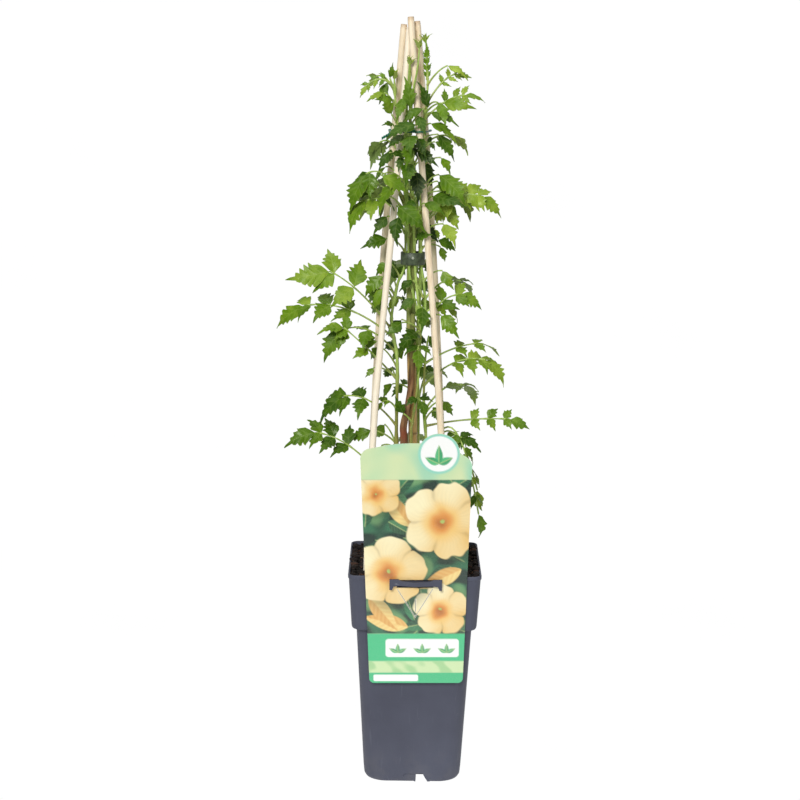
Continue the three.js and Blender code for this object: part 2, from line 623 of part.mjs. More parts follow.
// Everything that a leaflet keeps clear of, as short straight lengths with a radius.
function makeBars() {
  const bars = [];
  const addLine = (line, radius, owner) => {
    for (let i = 0; i + 1 < line.length; i++) bars.push({ a: line[i], b: line[i + 1], radius, owner });
  };
  for (const points of Object.values(STICKS)) addLine(smooth(points, 12), STICK_RADIUS);
  addLine(smooth(CANE, 6), CANE_RADIUS);
  addLine(smooth(TRUNK, 8), Math.max(...TRUNK_RADII));
  const wire = wireLine();
  addLine([...wire, wire[0]], WIRE.radius);
  addLine(WIRE.tail.map((p) => vec(...p)), WIRE.knot);
  for (const [name, line] of Object.entries(stemLines)) addLine(line, STEM_RADIUS.foot, shootOf[name]);
  const bandTop = BAND.bottom + BAND.height;
  addLine([vec(BAND.x, BAND.y, BAND.bottom), vec(BAND.x, BAND.y, bandTop)], BAND.halfWidth + BAND.thickness);
  return bars;
}
const bars = makeBars();

function distanceToBar(point, { a, b }) {
  const along = b.clone().sub(a);
  const t = THREE.MathUtils.clamp(point.clone().sub(a).dot(along) / along.lengthSq(), 0, 1);
  return a.clone().addScaledVector(along, t).distanceTo(point);
}

// Which shoot's space a point lies in: quarters round the axis, the right one split by height.
function keeperOf({ x, y, z }) {
  const out = x - AXIS_X;
  if (-out > Math.abs(y)) return 'shoot_left';
  if (y > Math.abs(out)) return 'shoot_back';
  if (out > Math.abs(y) && z < LOW_SHOOT_TOP) return 'shoot_low';
  return 'shoot_main';
}

function isClear(point, shoot, number) {
  if (keeperOf(point) !== shoot) return false;
  if (point.z < LEAF_FLOOR) return false;
  const { back, top, half } = LABEL_SPACE;
  if (point.y < back && point.z < top && Math.abs(point.x) < half) return false;
  return bars.every((item) => item.owner === shoot || item.owner === number
    || distanceToBar(point, item) > item.radius + LEAF_CLEARANCE);
}

// A leaflet's place: root, unit vectors along, across and over it, its length and its width.
function leafFrame(root, along, over, length, slim) {
  const up = over.clone().addScaledVector(along, -over.dot(along)).normalize();
  const { from, to, factor } = LEAF_NARROWING;
  const young = THREE.MathUtils.clamp((root.z - from) / (to - from), 0, 1);
  const width = length * slim * LEAF_WIDTH * THREE.MathUtils.lerp(1, factor, young);
  return { root, along, up, across: up.clone().cross(along), length, width };
}

// Point of a leaflet at fractions along and across it, on its folded and bowed sheet.
function leafPoint(leaf, l, w) {
  const lift = 4 * LEAF_ARCH * l * (1 - l) * leaf.length + Math.abs(w) * LEAF_FOLD * leaf.width;
  return leaf.root.clone()
    .addScaledVector(leaf.along, l * leaf.length)
    .addScaledVector(leaf.across, w * leaf.width)
    .addScaledVector(leaf.up, lift);
}

const LEAF_PROBES = [
  [0.15, 0], [0.3, 0], [0.45, 0], [0.6, 0], [0.8, 0], [1, 0],
  [0.3, 0.48], [0.3, -0.48], [0.62, 0.44], [0.62, -0.44],
];

// Swings and lengths that a leaflet tries in turn, to grow clear of what stands in its way.
const TRIES = [[1, 1], [0.6, 0.9], [1.35, 0.85], [0.3, 0.7]];

// Rachis of a frond with the leaflets that stand clear on it. Every rib placed is one more bar
// that the leaflets of later fronds keep clear of.
function growFrond(frond, number) {
  const { stem, height, end, lift, pairs, length, face, droop, first, aside } = frond;
  const root = pointAt(stemLines[stem], height);
  const tip = vec(...end);
  const bow = root.clone().lerp(tip, 0.5).addScaledVector(UP, 2 * lift);
  const rachis = new THREE.QuadraticBezierCurve3(root, bow, tip);
  const tilt = degToRad(face);
  const facing = vec(0, -Math.sin(tilt), Math.cos(tilt));
  const overAt = (t) => {
    const tangent = rachis.getTangent(t);
    return facing.clone().addScaledVector(tangent, -facing.dot(tangent)).normalize();
  };
  const leaves = [];
  const place = (t, hand, swing, size, key, slim = 1, hang = 0) => {
    const tangent = rachis.getTangent(t);
    const side = tangent.clone().cross(overAt(t));
    for (const [turn, shrink] of TRIES) {
      const angle = swing * turn + (scatter(key) - 0.5) * CHANCE.swing;
      const along = tangent.clone().multiplyScalar(Math.cos(angle)).addScaledVector(side, Math.sin(angle));
      along.addScaledVector(UP, -droop * (1 + CHANCE.droop * (scatter(key + 1) - 0.5)) - hang).normalize();
      const lean = facing.clone().addScaledVector(side, (scatter(key + 2) - 0.5) * CHANCE.lean);
      const leaf = leafFrame(rachis.getPoint(t), along, lean, length * size * shrink, slim);
      if (LEAF_PROBES.every(([l, w]) => isClear(leafPoint(leaf, l, w), shootOf[stem], number))) {
        const [foot, middle, point] = [0.2, 0.5, 0.95].map((l) => leafPoint(leaf, l, 0));
        bars.push({ a: foot, b: middle, radius: RIB_ROOM, owner: number });
        bars.push({ a: middle, b: point, radius: RIB_ROOM, owner: number });
        leaves.push({ ...leaf, t, hand });
        return;
      }
    }
  };
  for (let k = 0; k < pairs; k++) {
    const t = THREE.MathUtils.lerp(first, LAST_PAIR, k / Math.max(pairs - 1, 1));
    const size = PAIR_SIZE.least + PAIR_SIZE.more * Math.sin(Math.PI * (k + 0.7) / pairs);
    const swing = SWING.lowest - SWING.closing * k / pairs;
    for (const hand of [-1, 1]) place(t, hand, hand * swing, size, number * 40 + k * 8 + hand * 3);
  }
  place(1, 0, aside, TERMINAL.length, number * 40 + 37, TERMINAL.width, TERMINAL.droop);
  return { rachis, overAt, first, leaves };
}

// A frond is one thin closed sheet: the narrow rachis, with the leaflets as lobes of the same blade.
function frondSolid({ rachis, overAt, first, leaves }) {
  const sheet = [];
  const triangles = [];
  const addPoint = (place, up, thickness) => {
    sheet.push({ place, up: up.clone().multiplyScalar(thickness / 2) });
    return sheet.length - 1;
  };
  const pairTimes = [...new Set(leaves.filter((leaf) => leaf.hand).map((leaf) => leaf.t))];
  const reach = 1.4 / rachis.getLength();
  const bend = first * rachis.getLength() > STRAIGHT_RACHIS ? [first / 2] : [];
  const stations = [0, ...bend, ...pairTimes.flatMap((t) => [t - reach, t + reach]), 1].map((t) => {
    const over = overAt(t);
    const side = rachis.getTangent(t).cross(over);
    const half = THREE.MathUtils.lerp(RACHIS.rootWidth, RACHIS.tipWidth, t) / 2;
    const [left, right] = [-half, half].map((offset) => addPoint(
      rachis.getPoint(t).addScaledVector(side, offset), over, RACHIS.thickness));
    return { t, left, right };
  });
  for (let i = 0; i + 1 < stations.length; i++) {
    const [a, b] = [stations[i], stations[i + 1]];
    triangles.push([a.left, a.right, b.right], [a.left, b.right, b.left]);
  }
  for (const leaf of leaves) {
    const after = stations.findIndex(({ t }) => t > leaf.t);
    const [near, far] = [stations[after - 1], stations[after]];
    const tip = stations.at(-1);
    const ends = [[far?.left, near?.left], [tip.right, tip.left], [near?.right, far?.right]];
    const [start, finish] = ends[leaf.hand + 1];
    const { half } = LEAF_OUTLINES.find((kind) => leaf.length >= kind.length);
    const outline = [...half.map(([l, w]) => [l, -w]), [1, 0], ...half.toReversed()];
    const edge = outline.map(([l, w]) => addPoint(leafPoint(leaf, l, w), leaf.up, LEAF_THICKNESS));
    const middle = addPoint(leafPoint(leaf, 0.45, 0), leaf.up, LEAF_THICKNESS);
    const path = [start, ...edge, finish, start];
    for (let i = 0; i + 1 < path.length; i++) triangles.push([middle, path[i], path[i + 1]]);
  }
  return solidOf(thicken(sheet, triangles));
}

// Closed body of a sheet: its upper and lower faces and the rim along every free edge.
function thicken(sheet, triangles) {
  const positions = [1, -1].flatMap((face) => sheet.flatMap(({ place, up }) => {
    const p = place.clone().addScaledVector(up, face);
    return [p.x, p.y, p.z];
  }));
  const under = sheet.length;
  const indices = triangles.flatMap(([a, b, c]) => [a, b, c, under + c, under + b, under + a]);
  const edges = new Set();
  for (const [a, b, c] of triangles) {
    for (const [from, to] of [[a, b], [b, c], [c, a]]) edges.add(`${from} ${to}`);
  }
  for (const edge of edges) {
    const [a, b] = edge.split(' ').map(Number);
    if (edges.has(`${b} ${a}`)) continue;
    indices.push(a, under + a, under + b, a, under + b, b);
  }
  return geometryOf(positions, indices);
}

const frondRows = [
  ...FRONDS.map(([stem, height, end, lift, pairs, length, face, droop, first]) => (
    { stem, height, end, lift, pairs, length, face, droop, first, aside: 0 })),
  ...SINGLES.map(([stem, height, end, lift, length, face, droop, turn]) => (
    { stem, height, end, lift, pairs: 0, length, face, droop, first: 1, aside: degToRad(turn) })),
];
const fronds = frondRows.map(growFrond);

function shootSolid(stems) {
  const pieces = stems.map((name) => {
    const foot = stemLines[name][0].z > SOIL_LEVEL ? STEM_RADIUS.branch : STEM_RADIUS.foot;
    return solidOf(bar(stemLines[name], [foot, STEM_RADIUS.tip], 4));
  });
  frondRows.forEach(({ stem }, number) => {
    if (stems.includes(stem)) pieces.push(frondSolid(fronds[number]));
  });
  // A leaflet that crosses a stem may leave a splinter of itself loose: only the shoot is kept.
  const bodies = Manifold.union(pieces).decompose();
  return bodies.reduce((shoot, body) => (body.volume() > shoot.volume() ? body : shoot));
}

// ---- Assembly ----

const plant = new THREE.Group();

function add(name, geometry, color, roughness) {
  const material = new THREE.MeshStandardMaterial({ color, roughness, metalness: 0 });
  const mesh = new THREE.Mesh(geometry, material);
  mesh.name = name;
  plant.add(mesh);
}

add('pot', geometryFrom(pot()), 0x5d606d, 0.55);

const cane = caneStations();
const trunkLine = smooth(TRUNK, 12);
const sockets = [
  ...Object.values(STICKS).map((points) => socket(
    curveThrough(points).getSpacedPoints(STICK_STEPS), STICK_RADIUS, 8)),
  socket(cane.stations, CANE_RADIUS, 8),
  socket(trunkLine, TRUNK_RADII[0], 8),
  ...['main', 'left', 'back', 'low'].map((name) => socket(stemLines[name], STEM_RADIUS.foot, 6)),
];
add('soil', geometryFrom(soil(sockets)), 0x17120d, 0.95);

for (const [name, points] of Object.entries(STICKS)) {
  add(name, rod(curveThrough(points), STICK_RADIUS, 8, STICK_STEPS), 0xf4e4c8, 0.7);
}
add('bamboo_cane', bar(cane.stations, cane.radii, 8), 0xb9924f, 0.5);
add('trunk', bar(trunkLine, TRUNK_RADII, 6), 0x7a5230, 0.8);
add('stem_band', geometryFrom(band()), 0x3c4a3a, 0.5);
add('wire_tie', geometryFrom(wireTie()), 0x14704f, 0.4);
add('label', label(), 0xd9e4a8, 0.35);

for (const [name, stems] of Object.entries(SHOOTS)) {
  add(name, geometryFrom(shootSolid(stems)), 0x5c8a2c, 0.6);
}

export default plant;
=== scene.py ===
"""Looks of a young trumpet vine tied up in a square nursery pot.

Four round sticks, a bamboo cane and a woody trunk stand in the soil. Green stems climb between
them, and every frond of leaflets grows by the rule that the solids follow, from the same rows.
Millimetres are used throughout and turned into metres when a piece is made.
"""
import math

import bpy
import numpy as np
from mathutils import Matrix, Vector, geometry


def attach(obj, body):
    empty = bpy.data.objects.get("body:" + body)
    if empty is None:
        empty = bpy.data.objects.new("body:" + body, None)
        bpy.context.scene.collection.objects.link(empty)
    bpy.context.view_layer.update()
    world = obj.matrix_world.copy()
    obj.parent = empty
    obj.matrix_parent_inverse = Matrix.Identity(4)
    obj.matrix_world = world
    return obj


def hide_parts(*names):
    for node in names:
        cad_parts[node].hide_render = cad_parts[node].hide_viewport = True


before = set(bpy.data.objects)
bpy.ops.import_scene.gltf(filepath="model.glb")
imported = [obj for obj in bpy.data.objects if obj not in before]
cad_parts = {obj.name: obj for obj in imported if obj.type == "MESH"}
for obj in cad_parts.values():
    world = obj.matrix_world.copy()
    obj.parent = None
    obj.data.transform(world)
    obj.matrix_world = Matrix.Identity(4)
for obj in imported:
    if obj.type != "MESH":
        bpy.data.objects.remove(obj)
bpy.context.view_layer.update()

MM = 0.001

# ---- Dimensions shared with the solids ----

GAP = 0.3
POT_HEIGHT = 220
POT_WALL = 1.5
POT_CORNER = {"foot": 20, "rim": 8}
POT_OUTSIDE = [
    (0, 42.5), (1.4, 46.4), (5, 48.2), (14, 49),
    (162, 56.9), (163.5, 61), (166, 61.7), (215.5, 64.6), (216, 65.3), (219.4, 65.4), (220, 65)]
POT_INSIDE = [
    (2, 45), (5, 46.7), (14, 47.5), (160.5, 55.3), (165, 60.1), (219.6, 63.4), (220, 63.7)]
DRAIN_HOLE = {"radius": 3.5, "offset": 26}
ARCH = {"left": 3.5, "right": 16.5, "top_left": 4, "top_right": 10.5, "height": 10.5,
        "face": -49, "end": -25}
SOIL_LEVEL = 217
SOIL_BUMP = 2.2
STICK_RADIUS = 3.2
STICK_FOOT = 125
STICK_STEPS = 7
CANE_RADIUS = 4.3
LABEL = {"thickness": 0.7, "lean": 0.07, "back_at_rim": -66.2, "tilt": 0.013, "shift": 1.2}
HOOK = {"left": -24.7, "right": 26.5, "depth": 2.4, "back": -67.3}
STEM_RADIUS = {"foot": 1.8, "branch": 1.5, "tip": 1}
STEM_FOOT = 178
LEAF_WIDTH = 0.6
LEAF_NARROWING = {"from": 580, "to": 740, "factor": 0.62}
LEAF_FOLD = 0.28
LEAF_ARCH = 0.09
LEAF_CLEARANCE = 1.9
LEAF_FLOOR = 226
LABEL_SPACE = {"back": -56, "top": 370, "half": 58}
TERMINAL = {"length": 1.4, "width": 0.85, "droop": 0.4}
LAST_PAIR = 0.93
RIB_ROOM = 2
SWING = {"lowest": 1.08, "closing": 0.25}
PAIR_SIZE = {"least": 0.82, "more": 0.18}
CHANCE = {"swing": 0.3, "lean": 0.8, "droop": 0.4}

STICKS = {
    "stick_front_left": [
        (-46.5, -42.5, STICK_FOOT), (-48, -43, 205), (-44.8, -38, 300), (-39.9, -30, 398),
        (-28.2, -18, 533), (-19.2, -9, 639), (-11.8, 1, 745)],
    "stick_front_right": [
        (31, -42.5, STICK_FOOT), (31.5, -43, 205), (27.8, -38, 300), (20.6, -29.5, 398),
        (9.2, -20.5, 533), (-0.9, -14, 639), (-10.9, -6, 755)],
    "stick_back_left": [
        (-46.5, 42, STICK_FOOT), (-48.5, 42.5, 205), (-45.3, 37, 300), (-41.3, 31, 398),
        (-34.8, 22, 528), (-25.8, 14, 639), (-17.1, 6, 748)],
    "stick_back_right": [
        (32, 42, STICK_FOOT), (32.5, 42.5, 205), (28, 35, 300), (22.6, 27, 398),
        (14.2, 16, 534), (5.7, 9, 639), (-4.7, 0.5, 751)],
}
CANE = [(-2.5, 3, 95), (-2.6, 2.6, 205), (-3.4, 2, 345), (-7, 2.4, 464), (-6.9, 2.5, 562)]
CANE_NODES = [228, 348, 452]
TRUNK = [
    (-12, -8, 165), (-11.6, -7.5, 300), (-12.2, -7, 343), (-12.8, -7, 357), (-8.2, -7, 382),
    (-5.6, -7, 410), (-5, -6.6, 470)]
TRUNK_RADII = [4, 3.7, 3.6, 4.2, 3.4, 3.1, 2.5]
STEMS = {
    "main": [(-4, -14, STEM_FOOT), (-5, -13, 338), (-4.2, -12, 362), (0.9, -10.5, 404),
             (3.3, -9.5, 455)],
    "front": [
        (3.3, -9.5, 455), (-0.6, -8.6, 488), (-3.6, -8, 518), (-7, -8, 590), (-10, -9.4, 640),
        (-8, -15.4, 682), (-4, -17, 706), (-2, -15, 729)],
    "third": [
        (3.3, -9.5, 455), (-4.6, -8.4, 488), (-9.6, -7.2, 518), (-12, -6.4, 590),
        (-14, -8.4, 640), (-13, -15, 680), (-11.3, -16.5, 713)],
    "right": [
        (3.3, -9.5, 455), (6.8, -7, 474), (5.2, -4.6, 500), (2.2, -2.6, 524), (1, -1, 590),
        (1.8, -1.6, 640), (5.6, -3.4, 676), (6, -5.4, 706), (3.8, -6, 734)],
    "left": [
        (-18.5, -2, STEM_FOOT), (-19.8, -4, 340), (-19.8, -4.6, 380), (-20, -5, 425),
        (-25.6, -3.4, 457), (-25, -3, 474), (-20, -2.6, 500), (-13.4, -2, 521), (-14.6, -1, 590),
        (-20.4, -0.6, 640), (-24.6, -2, 676), (-26, -3, 700)],
    "back": [
        (0, 14, STEM_FOOT), (2, 14, 340), (0, 12, 430), (1.6, 7, 490), (1.4, 3, 524),
        (-3, 5, 590), (-9.4, 9, 640), (-10.8, 16, 684), (-9, 17, 722)],
    "low": [(12, -4, STEM_FOOT), (10, -5, 330), (7.4, -3, 372), (7, -2, 410), (9.6, -1.4, 441)],
}
AXIS_X = -8
SHOOTS = {
    "shoot_main": ["main", "front", "third", "right"],
    "shoot_left": ["left"],
    "shoot_back": ["back"],
    "shoot_low": ["low"],
}
LOW_SHOOT_TOP = 449

# Leaves that stand alone: stem, height on it, end of the stalk, lift, length, face, droop, turn.
SINGLES = [
    ("left", 486, (-34, -2, 506), 2, 20, 60, 0.9, 10),
    ("left", 480, (-38, -12, 504), 3, 25, 60, 1.5, -20),
    ("left", 494, (-24, 4, 503), 0, 14, 60, -1.5, 0),
    ("left", 404, (-43, -14, 417), 4, 9, 60, 0.8, 0),
    ("left", 686, (-30, -6, 697), 0, 11, 80, -0.9, 35),
    ("left", 668, (-27, -5, 677), 0, 14, 60, 0.3, -20),
    ("left", 652, (-28, -8, 663), 0, 18, 60, -0.8, 0),
    ("left", 645, (-27, -9, 654), 0, 11, 60, 0.2, 0),
    ("left", 548, (-31, -8, 565), 5, 23, 40, 0.4, 0),
    ("left", 530, (-31, -5, 543), 4, 20, 50, -0.3, 0),
    ("third", 594, (-37, -40, 607), 7, 26, 45, 0.2, 165),
    ("third", 566, (-37, -38, 588), 6, 19, 45, 0.4, 150),
    ("left", 566, (-42, -10, 596), 6, 20, 40, 0.7, -20),
    ("left", 464, (-36, 8, 482), 3, 16, 60, 1, 0),
    ("left", 416, (-36, 6, 434), 3, 14, 60, 0.9, 0),
    ("left", 590, (-33, 8, 612), 6, 20, 30, 0.8, -30),

    ("third", 658, (-10, -18, 669), 1, 22, 60, -1.1, -55),
    ("front", 650, (-4, -23, 654), 1, 26, 50, -0.5, 88),
    ("right", 660, (2, -17, 669), 1, 18, 50, 0.6, 70),
    ("right", 656, (6, -11, 670), 0, 19, 60, -1, -40),
    ("right", 664, (21, -8, 674), 3, 24, 50, -0.4, 0),
    ("right", 652, (9, -11, 665), 4, 22, 40, 0, -40),
    ("right", 650, (9, -14, 655), 1, 24, 40, 0.4, -40),
    ("third", 550, (-20, -27, 567), 6, 21, 50, 1.6, 0),
    ("third", 562, (-22, -30, 577), 5, 28, 60, -0.2, -95),
    ("front", 532, (-3, -22, 545), 3, 13, 50, -0.6, -60),
    ("front", 592, (-4, -20, 610), 5, 23, 50, 1.9, 0),
    ("right", 568, (12, -10, 585), 3, 28, 50, 0.3, -15),
    ("right", 588, (18, -9, 606), 4, 29, 50, 0.7, 0),
    ("right", 612, (20, -4, 622), 3, 14, 50, 1.2, 0),
    ("front", 616, (-3, -21, 629), 2, 21, 60, 0.8, -80),
    ("right", 552, (33, -15, 577), 6, 19, 70, 0, 150),
    ("right", 532, (18, 4, 541), 3, 17, 30, 0, 0),
    ("right", 540, (14, 4, 552), 2, 11, 60, 1.4, 0),
    ("right", 534, (21, 11, 534), 3, 12, 60, 1.2, 0),
    ("third", 610, (-18, -22, 624), 2, 12, 50, 1.6, 0),
    ("third", 614, (-13, -22, 625), 1, 14, 60, -0.2, 60),
    ("third", 622, (-12, -20, 638), 1, 15, 60, 1, 40),
    ("front", 560, (4, -28, 580), 4, 18, 60, 0.7, -40),
    ("third", 632, (-16, -18, 644), 3, 18, 60, 0.4, 30),
    ("front", 652, (-2, -19, 662), 2, 18, 60, 0.2, 40),
    ("main", 446, (0, -17, 454), 3, 22, 40, 0.8, 65),
    ("main", 474, (-4, -14, 486), 2, 14, 60, 0.8, 30),
    ("main", 362, (-13, -16, 372), 1, 14, 70, -1.2, 0),

    ("back", 462, (-8, 24, 474), 3, 16, 70, 1, 60),
    ("back", 566, (-8, 20, 586), 4, 24, 70, 1.2, 50),
    ("back", 584, (6, 22, 604), 4, 24, 70, 1.2, -50),
    ("back", 534, (2, 22, 550), 4, 20, 70, 0.8, -50),
    ("back", 444, (-16, 20, 460), 4, 18, 70, 0.8, 0),
    ("back", 500, (-14, 16, 514), 2, 15, 70, 1, -30),
    ("back", 490, (2, 18, 502), 2, 15, 70, 1, 40),
    ("back", 470, (6, 20, 482), 3, 16, 70, 0.9, 0),
    ("back", 448, (6, 20, 462), 3, 16, 70, 0.9, 30),
    ("back", 420, (-14, 22, 432), 3, 15, 70, 0.8, 0),
    ("back", 404, (2, 18, 416), 3, 15, 70, 0.9, 20),
    ("back", 478, (-6, 18, 501), 2, 16, 70, 1.4, 0),
    ("back", 456, (-8, 16, 467), 1, 14, 70, -1.4, 0),
    ("back", 508, (9, 24, 522), 2, 17, 75, 1.2, 0),

    ("low", 368, (26, -5, 383), 4, 13, 60, 1, 0),
]

# Fronds: stem, height on it, end of the rachis, lift, pairs, leaflet length, face, droop, first.
FRONDS = [
    ("left", 452, (-86, -10, 511), 7, 2, 32, 60, 0.4, 0.62),
    ("left", 445, (-112, 4, 475), 12, 3, 27, 30, 0.2, 0.48),
    ("left", 404, (-72, -24, 458), 2, 2, 20, 50, 0.2, 0.55),
    ("left", 430, (-76, -19, 454), 12, 2, 25, 30, 0.6, 0.5),
    ("left", 357, (-72, -18, 389), 10, 2, 26, 30, 0.5, 0.62),
    ("left", 284, (-99, -12, 351), 14, 3, 25, 45, 0.1, 0.6),
    ("left", 580, (-52, -12, 606), 12, 1, 30, 35, 1.1, 0.9),
    ("left", 556, (-51, -14, 581), 10, 1, 26, 35, 0.6, 0.85),
    ("left", 612, (-30, -5, 626), 4, 1, 15, 40, 0.9, 0.7),
    ("left", 688, (-52, -4, 690), 7, 3, 10, 60, 0.2, 0.4),
    ("left", 434, (-25, 6, 441), 1, 1, 13, 60, 0.8, 0.8),
    ("left", 402, (-26, 5, 414), 2, 1, 12, 60, 0.9, 0.8),
    ("left", 374, (-34, -20, 384), 4, 1, 14, 30, 0.5, 0.6),
    ("left", 574, (-48, 24, 590), 16, 2, 25, -25, 0.8, 0.5),
    ("left", 622, (-40, 16, 634), 8, 2, 20, -25, 0.9, 0.5),
    ("left", 684, (-44, 12, 698), 6, 2, 12, -40, 0.2, 0.5),

    ("right", 672, (34, -1, 702), 6, 3, 11, 60, 0.1, 0.5),
    ("right", 658, (42, -4, 682), 5, 3, 15, 60, 0, 0.5),
    ("right", 628, (14, -2, 637), 2, 1, 10, 50, 0.2, 0.6),
    ("right", 696, (4.8, -7, 718), 0, 4, 9, 80, -1.2, 0.1),
    ("right", 556, (60, -2, 585), 12, 3, 21, 50, 0.3, 0.62),
    ("right", 558, (28, -5, 571), 6, 1, 15, 40, 0.7, 0.7),
    ("front", 456, (39, -6, 489), 8, 2, 20, 60, 0.1, 0.55),
    ("right", 484, (42, 18, 500), 8, 2, 18, -20, 0.3, 0.6),
    ("right", 470, (26, 0, 478), 3, 1, 17, 30, 0.5, 0.6),
    ("right", 574, (42, 26, 590), 14, 2, 25, -25, 0.8, 0.5),
    ("right", 632, (32, 8, 642), 5, 2, 17, -10, 0.4, 0.55),
    ("main", 430, (0, -42, 440), 6, 1, 18, 25, 0.6, 0.6),
    ("main", 374, (3, -40, 390), 6, 1, 16, 25, 0.4, 0.6),

    ("back", 306, (-4, 64, 334), 12, 2, 23, -25, 0.4, 0.5),
    ("back", 376, (16, 66, 402), 12, 2, 23, -25, 0.4, 0.5),
    ("back", 384, (-24, 36, 392), 4, 1, 17, 40, 0.5, 0.6),
    ("back", 430, (-3, 17, 443), 2, 1, 17, 60, 0.9, 0.8),
    ("back", 472, (-32, 38, 480), 4, 1, 18, 40, 0.6, 0.6),
    ("back", 492, (-22, 62, 512), 12, 2, 24, -25, 0.5, 0.5),
    ("back", 548, (6, 56, 566), 14, 2, 26, -25, 0.8, 0.5),
    ("back", 576, (-30, 54, 592), 14, 3, 27, -25, 0.8, 0.45),
    ("back", 634, (-18, 44, 648), 8, 2, 23, -25, 0.6, 0.5),
    ("back", 702, (-12, 26, 730), 2, 2, 12, -40, 0, 0.4),

    ("low", 357, (92, -8, 366), 3, 3, 16, 50, 0, 0.55),
    ("low", 398, (66, -18, 427), 10, 3, 23, 25, 0.4, 0.5),
    ("low", 420, (60, 8, 439), 4, 2, 18, 20, 0.2, 0.6),
    ("low", 334, (45, -18, 349), 4, 2, 17, 30, 0.3, 0.6),
    ("low", 316, (62, -36, 276), 62, 4, 17, 20, 0.9, 0.58),
    ("low", 322, (61, -18, 296), 44, 3, 16, 20, 0.9, 0.62),
    ("low", 432, (11, 6, 446), 2, 1, 17, 60, 1.1, 0.7),
    ("low", 402, (8, 6, 416), 2, 1, 12, 60, 0.7, 0.8),
    ("low", 378, (5, -6, 386), 1, 1, 9, 60, 0, 0.8),
    ("low", 362, (19, -8, 374), 3, 1, 11, 60, 0.8, 0.7),
    ("low", 372, (48, 34, 392), 10, 2, 21, -25, 0.4, 0.5),
]
TRIES = [(1, 1), (0.6, 0.9), (1.35, 0.85), (0.3, 0.7)]
LEAF_PROBES = [
    (0.15, 0), (0.3, 0), (0.45, 0), (0.6, 0), (0.8, 0), (1, 0),
    (0.3, 0.48), (0.3, -0.48), (0.62, 0.44), (0.62, -0.44)]
# Single leaflets that only this script adds, where the bundle still has room for them.
THICKETS = [
    {"stems": ["front", "third", "right", "left", "back"], "heights": (540, 640), "count": 110,
     "reach": (12, 34), "lengths": (16, 28)},
    {"stems": ["front", "third", "right", "left", "back"], "heights": (640, 692), "count": 56,
     "reach": (8, 20), "lengths": (12, 20)},
    {"stems": ["main", "left", "back", "low"], "heights": (330, 510), "count": 70,
     "reach": (10, 26), "lengths": (12, 22)},
]
THICKET_SEED = 9000
BAND = {"x": -5.8, "y": -1.3, "half_width": 10.9, "half_depth": 9.4, "thickness": 1,
        "bottom": 518, "height": 12}
WIRE = {"height": 647, "radius": 0.9, "spare": 1.1, "knot": 2.4,
        "tail": [(-26.4, -3.6, 646.6), (-31, -6, 643.5), (-37, -6, 640)]}

# ---- Vectors and lines ----


def vec(*p):
    return np.array(p, float)


UP = vec(0, 0, 1)


def unit(v):
    return v / np.linalg.norm(v)


def lerp(a, b, t):
    return a + (b - a) * t


def smoothstep(low, high, x):
    t = np.clip((x - low) / (high - low), 0, 1)
    return t * t * (3 - 2 * t)


def fall(low, high, x):
    """1 below low, 0 above high, smooth between them."""
    return 1 - smoothstep(low, high, x)


def bell(x, width):
    return np.exp(-(x / width) ** 2)


def circle(steps):
    """Angles in equal steps round a circle."""
    return np.arange(steps) / steps * 2 * math.pi


def scatter(n):
    """Repeatable scatter from 0 to 1 for a whole number."""
    value = math.sin(n * 12.9898 + 78.233) * 43758.5453
    return value - math.floor(value)


def ripple(points, pitch, seed):
    """Smooth uneven field of about -1 to 1 over points, with waves of about the given pitch."""
    total = 0
    for k in range(5):
        way = unit(vec(*(scatter(seed + k * 7 + i) - 0.5 for i in range(3))))
        wave = 2 * math.pi / (pitch * (0.6 + 0.9 * scatter(seed + k * 7 + 5)))
        total = total + np.sin(points @ way * wave + 6.3 * scatter(seed + k * 7 + 6))
    return total / 3


def smooth(points, steps):
    """Points along the smooth line through the given ones."""
    given = np.array(points, float)
    given = np.vstack([2 * given[0] - given[1], given, 2 * given[-1] - given[-2]])
    line = []
    for s in range(steps + 1):
        place = (len(points) - 1) * s / steps
        i = min(int(place), len(points) - 2)
        t = place - i
        p0, p1, p2, p3 = given[i:i + 4]
        out, into = (p2 - p0) / 2, (p3 - p1) / 2
        line.append(p1 + out * t + (-3 * p1 + 3 * p2 - 2 * out - into) * t ** 2
                    + (2 * p1 - 2 * p2 + out + into) * t ** 3)
    return np.array(line)


def point_at(line, z):
    """Point at height z on a line that only climbs."""
    i = 0
    while i + 2 < len(line) and line[i + 1][2] < z:
        i += 1
    return lerp(line[i], line[i + 1], (z - line[i][2]) / (line[i + 1][2] - line[i][2]))


def spaced(line, steps):
    """The line again, in steps of equal length."""
    length = np.concatenate([[0], np.cumsum(np.linalg.norm(np.diff(line, axis=0), axis=1))])
    places = np.linspace(0, length[-1], steps + 1)
    return np.stack([np.interp(places, length, line[:, i]) for i in range(3)], axis=1)


def square_ring(half, corner, z, steps):
    """Square ring with rounded corners, counter-clockwise seen from above."""
    points = []
    for quarter in range(4):
        for i in range(steps + 1):
            angle = (quarter + i / steps) * math.pi / 2
            sx = 1 if quarter in (0, 3) else -1
            sy = 1 if quarter < 2 else -1
            points.append((sx * (half - corner) + corner * math.cos(angle),
                           sy * (half - corner) + corner * math.sin(angle), z))
    return np.array(points)


# ---- Growth of the fronds, as in the solids ----


def stick_centres(z):
    order = ["stick_front_left", "stick_front_right", "stick_back_right", "stick_back_left"]
    return [point_at(smooth(STICKS[name], 60), z) for name in order]


